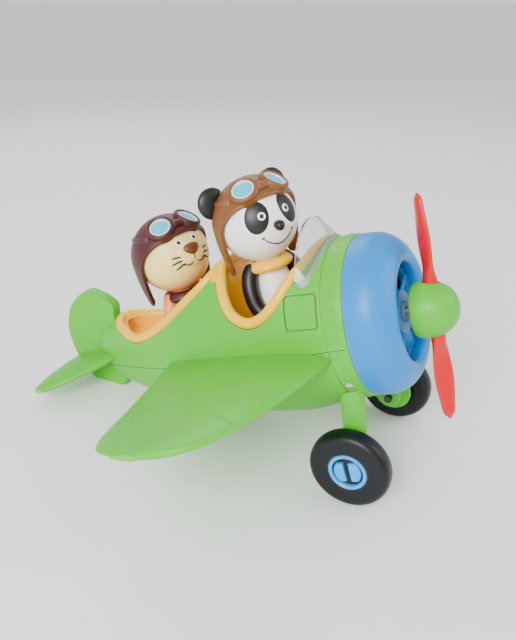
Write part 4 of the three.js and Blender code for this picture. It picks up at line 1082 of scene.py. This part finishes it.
for name, figure in figures.items():
    seat = cockpit["seat"] + cockpit["floor"] + cockpit["figureGap"]
    atSeat = Matrix.Translation((figure["x"], 0, seat)) @ Matrix.Rotation(math.radians(figure["turn"]), 4,
            "Z")
    atHead = atSeat @ Matrix.Translation((0, 0, figure["headUp"]))
    body, isPanda = figure["body"], name == "panda"
    capFinish, skin = finishes[figure["cap"]], finishes[figure["skin"]]
    neck, trunk = figure["headUp"] - head, figure["trunk"]

    def put(target, label, material, slotName, stands=(), matrix=atHead):
        return place(target, name + label, body, material, slotName, stands, matrix)

    put(ball("headBall", (0, 0, 0), [head] * 3, 112, 80), "Head", skin, figure["skinSlot"],
            [name + "_head"])
    torso = turned("torso", np.vstack([[(0, 0)], softCurve([
        (trunk - 1.5, 0), (trunk, 2), (trunk, 0.35 * neck), (0.93 * trunk, 0.62 * neck), (0.72 * trunk,
        0.85 * neck),
        (figureSize["neck"], neck - 2), (figureSize["neck"] - 1, neck + 4)], 6), [(0, neck + 4)]]), 72, "z")
    put(torso, "Body", skin, figure["skinSlot"], [name + "_body"], atSeat)
    reach = trunk / 14
    arms = merged("arms", [tube("arm", softCurve([
        (-1, side * 9 * reach, neck - 1), (0, side * 14 * reach, neck - 6), (2, side * 17 * reach,
        neck - 14),
        (5, side * 17 * reach, neck - 24), (10, side * 13.5 * reach, neck - 31)], 8),
        [2.5, 3.6, 4.2] + [4.7] * 27 + [4.2, 3.4, 2.0], 24) for side in (-1, 1)])
    put(arms, "Arms", finishes[figure["arm"]], figure["skinSlot"], (), atSeat)
    inner = figureSize["neck"] + 0.3
    scarf = turned("scarf", softCurve([(inner, neck - 4.5), (inner + 4.6, neck - 4.8), (inner + 5.9,
            neck - 2.4),
                                       (inner + 3.4, neck + 0.8), (inner, neck + 0.6)], 5, closed=True),
                                       80, "z")
    put(scarf, "Scarf", finishes["yellow"] if isPanda else capFinish, "yellow_plastic" if isPanda else
        figure["capSlot"], [name + "_scarf"], atSeat)

    put(capShell(), "Cap", capFinish, figure["capSlot"], [name + "_cap"])
    rings = []
    wallThick = figureSize["goggleWall"]
    outer = figureSize["goggle"]
    for side, word in ((1, "Left"), (-1, "Right")):
        frameProfile = softCurve([(outer - wallThick, 0), (outer - wallThick, 1.7),
                (outer - wallThick + 0.8, 2.6),
                                  (outer - 0.8, 2.6), (outer, 1.6), (outer, 0), (outer, -3.6),
                                  (outer - wallThick, -3.6)], 4, closed=True)
        frameRing = turned("goggleFrame", frameProfile, 80, "z")
        frameRing.data.transform(goggleMatrix(side))
        rings.append(frameRing)
        reach = outer - wallThick + 0.1
        lens = turned("lens", [(0, -2.5), (reach, -2.5), (reach, 1.2), (reach * 0.8, 1.75), (reach * 0.5,
                2.1),
                               (reach * 0.2, 2.25), (0, 2.3)], 64, "z")
        put(lens, "Lens" + word, finishes["lens"], "goggle_lens", [name + "_lens_" + word.lower()],
            atHead @ goggleMatrix(side))
        edgeRing = turned("lensEdge", [(reach - 0.9, 1.5), (reach, 1.2), (reach, 2.0), (reach - 0.6,
                2.2)], 64, "z")
        put(edgeRing, "LensEdge" + word, finishes["lensEdge"], "goggle_lens", (),
                atHead @ goggleMatrix(side))
    strapReach = head + figureSize["cap"] + 0.4
    bridge = tube("bridge", [onHead(a, math.degrees(figureSize["lift"]) - 1, strapReach) for a in
                             np.linspace(-12, 12, 9)], figureSize["bridge"], 20)
    put(merged("goggles", [*rings, bridge]), "Goggles", capFinish, figure["capSlot"])
    strapAngles = np.linspace(62, 298, 60)
    strap = tube("strap", [onHead(a, figureSize["strapLift"],
            head + figureSize["cap"] - 0.9) for a in strapAngles],
                 figureSize["strap"], 16)
    put(strap, "Strap", capFinish, figure["capSlot"])

    snaps, turns = [], []
    for side in (-1, 1):
        for row in figureSize["snapRows"]:
            for k in range(4):
                spot = onHead(side * (86 + 5.4 * k), math.degrees(math.asin(row / 25)), head + 2.6)
                snaps.append(spot)
                turns.append(facing(spot))
    rows = repeated("snaps", domeTree, snaps, turns, figureSize["snap"], capFinish)
    put(rows, "Snaps", capFinish, figure["capSlot"])

    if isPanda:
        for side, word in ((1, "left"), (-1, "right")):
            ear = ball("ear", (-8, side * 20, 16), (3.6, 9, 9), 64, 40)
            combine(ear, [ball("capRoom", (0, 0, 0), [head + 2.9] * 3, 64, 40)])
            put(ear, "Ear" + word.title(), finishes["black"], "black_vinyl", ["panda_ear_" + word])
        patch, eye, muzzleNose = pandaFace["patch"], pandaFace["eye"], pandaFace["nose"]
        patches = merged("patches", [
            facePad(side * patch["azimuth"], patch["lift"], patch["wide"], patch["high"], patch["proud"],
                    side * patch["tilt"]) for side in (-1, 1)])
        put(patches, "EyePatches", finishes["black"], "black_vinyl")
        eyes = merged("eyes", [facePad(side * eye["azimuth"], eye["lift"], eye["size"], eye["size"], 0.3,
                                       base=head + 0.25) for side in (-1, 1)])
        put(eyes, "Eyes", finishes["white"], "panda_white")
        pupils = merged("pupils", [facePad(side * eye["azimuth"], eye["lift"], eye["pupil"], eye["pupil"],
                0.35,
                                           base=head + 0.45) for side in (-1, 1)])
        put(pupils, "Pupils", finishes["black"], "black_vinyl")
        put(facePad(0, muzzleNose["lift"], muzzleNose["size"], muzzleNose["size"], muzzleNose["proud"],
                    point=muzzleNose["point"]), "Nose", finishes["black"], "black_vinyl")
        smile = [faceLine(pandaFace["smile"], 0.42)]
        for side in (-1, 1):
            smile.append(faceLine([(side * a, lift) for a, lift in pandaFace["smileEnd"]], 0.4))
        put(merged("smile", smile), "Smile", finishes["black"], "black_vinyl")
    else:
        muzzle, eye, lionNose = lionFace["muzzle"], lionFace["eye"], lionFace["nose"]
        put(facePad(0, muzzle["lift"], muzzle["wide"], muzzle["high"], muzzle["proud"]), "Muzzle", skin,
                "lion_cream")
        eyes = merged("eyes", [facePad(side * eye["azimuth"], eye["lift"], eye["size"], eye["size"], 0.3)
                               for side in (-1, 1)])
        put(eyes, "Eyes", finishes["white"], "panda_white")
        pupils = merged("pupils", [facePad(side * (eye["azimuth"] - 0.5), eye["lift"] - 0.4, eye["pupil"],
                                           eye["pupil"], 0.35, base=head + 0.2) for side in (-1, 1)])
        put(pupils, "Pupils", finishes["black"], "black_vinyl")
        put(facePad(0, lionNose["lift"], lionNose["wide"], lionNose["high"], lionNose["proud"],
                base=head + 1,
                    point=lionNose["point"]), "Nose", finishes["brown"], "maroon_vinyl")
        mouth = [faceLine([(0, 2), (0, -5)], 0.4, head + 1.5)]
        for side in (-1, 1):
            mouth.append(faceLine([(side * a, lift) for a, lift in lionFace["mouth"]], 0.42, head + 1))
            for start, end, fall in lionFace["whiskers"]:
                middle = (side * (start + end) / 2, 0.7 * fall + 0.5)
                mouth.append(faceLine([(side * start, 0.35 * fall - 1), middle, (side * end, fall)],
                                      lionFace["whisker"], head + 0.5))
        put(merged("mouth", mouth), "Whiskers", finishes["black"], "black_vinyl")
print("figures done")


# Inner CAD nodes keep their shape and get their own finish

# The axles take the darkened steel, painted shade for the holes they show in.
kept = {"steelPaintedShade": ("axle_",), "steel": ("prop_shaft", "body_screw", "strut_screw", "wing_screw",
        "tail_pin"),
        "nylon": ("shaft_bush", "shaft_clip"), "blue": ("bulkhead",)}
for node, piece in frame["nodes"].items():
    for key, starts in kept.items():
        if node.startswith(starts):
            piece.data.materials.clear()
            piece.data.materials.append(finishes[key])


# Floor, light and camera

studio = {
    "world": 0.95,
    "floor": 60.0,
    "lights": (("keyLight", (0.1, -1.1, 0.75), 0.7, 22), ("fillLight", (1.0, 0.4, 0.7), 0.8, 5),
               ("backLight", (-0.7, 0.7, 0.9), 0.8, 5)),
}


def areaLight(name, place, size, energy):
    data = bpy.data.lights.new(name, "AREA")
    data.shape, data.size, data.energy = "DISK", size, energy
    lamp = bpy.data.objects.new(name, data)
    lamp.location = place
    lamp.rotation_euler = (Vector((0, 0, 0.08)) - Vector(place)).to_track_quat("-Z", "Y").to_euler()
    bpy.context.scene.collection.objects.link(lamp)


floorMesh = bpy.data.meshes.new("floor")
f = studio["floor"]
floorMesh.from_pydata([(-f, -f, 0), (f, -f, 0), (f, f, 0), (-f, f, 0)], [], [(0, 1, 2, 3)])
floor = bpy.data.objects.new("floor", floorMesh)
bpy.context.scene.collection.objects.link(floor)
floorMesh.materials.append(finish("paleFloor", (244, 244, 244), rough=0.7, variation=0.01, wear=0.0,
        bump=0.0))
world = bpy.data.worlds.new("studio")
world.use_nodes = True
world.node_tree.nodes["Background"].inputs["Color"].default_value = (1, 1, 1, 1)
world.node_tree.nodes["Background"].inputs["Strength"].default_value = studio["world"]
bpy.context.scene.world = world
for settings in studio["lights"]:
    areaLight(*settings)

view = {"place": (0.16773, -0.31666, 0.2480), "ahead": (-0.392, 0.806, -0.444), "lens": 36.2}
lens = bpy.data.cameras.new("camera")
lens.lens, lens.sensor_width, lens.clip_start = view["lens"], 36, 0.01
camera = bpy.data.objects.new("camera", lens)
camera.location = view["place"]
camera.rotation_euler = Vector(view["ahead"]).to_track_quat("-Z", "Y").to_euler()
bpy.context.scene.collection.objects.link(camera)
bpy.context.scene.camera = camera
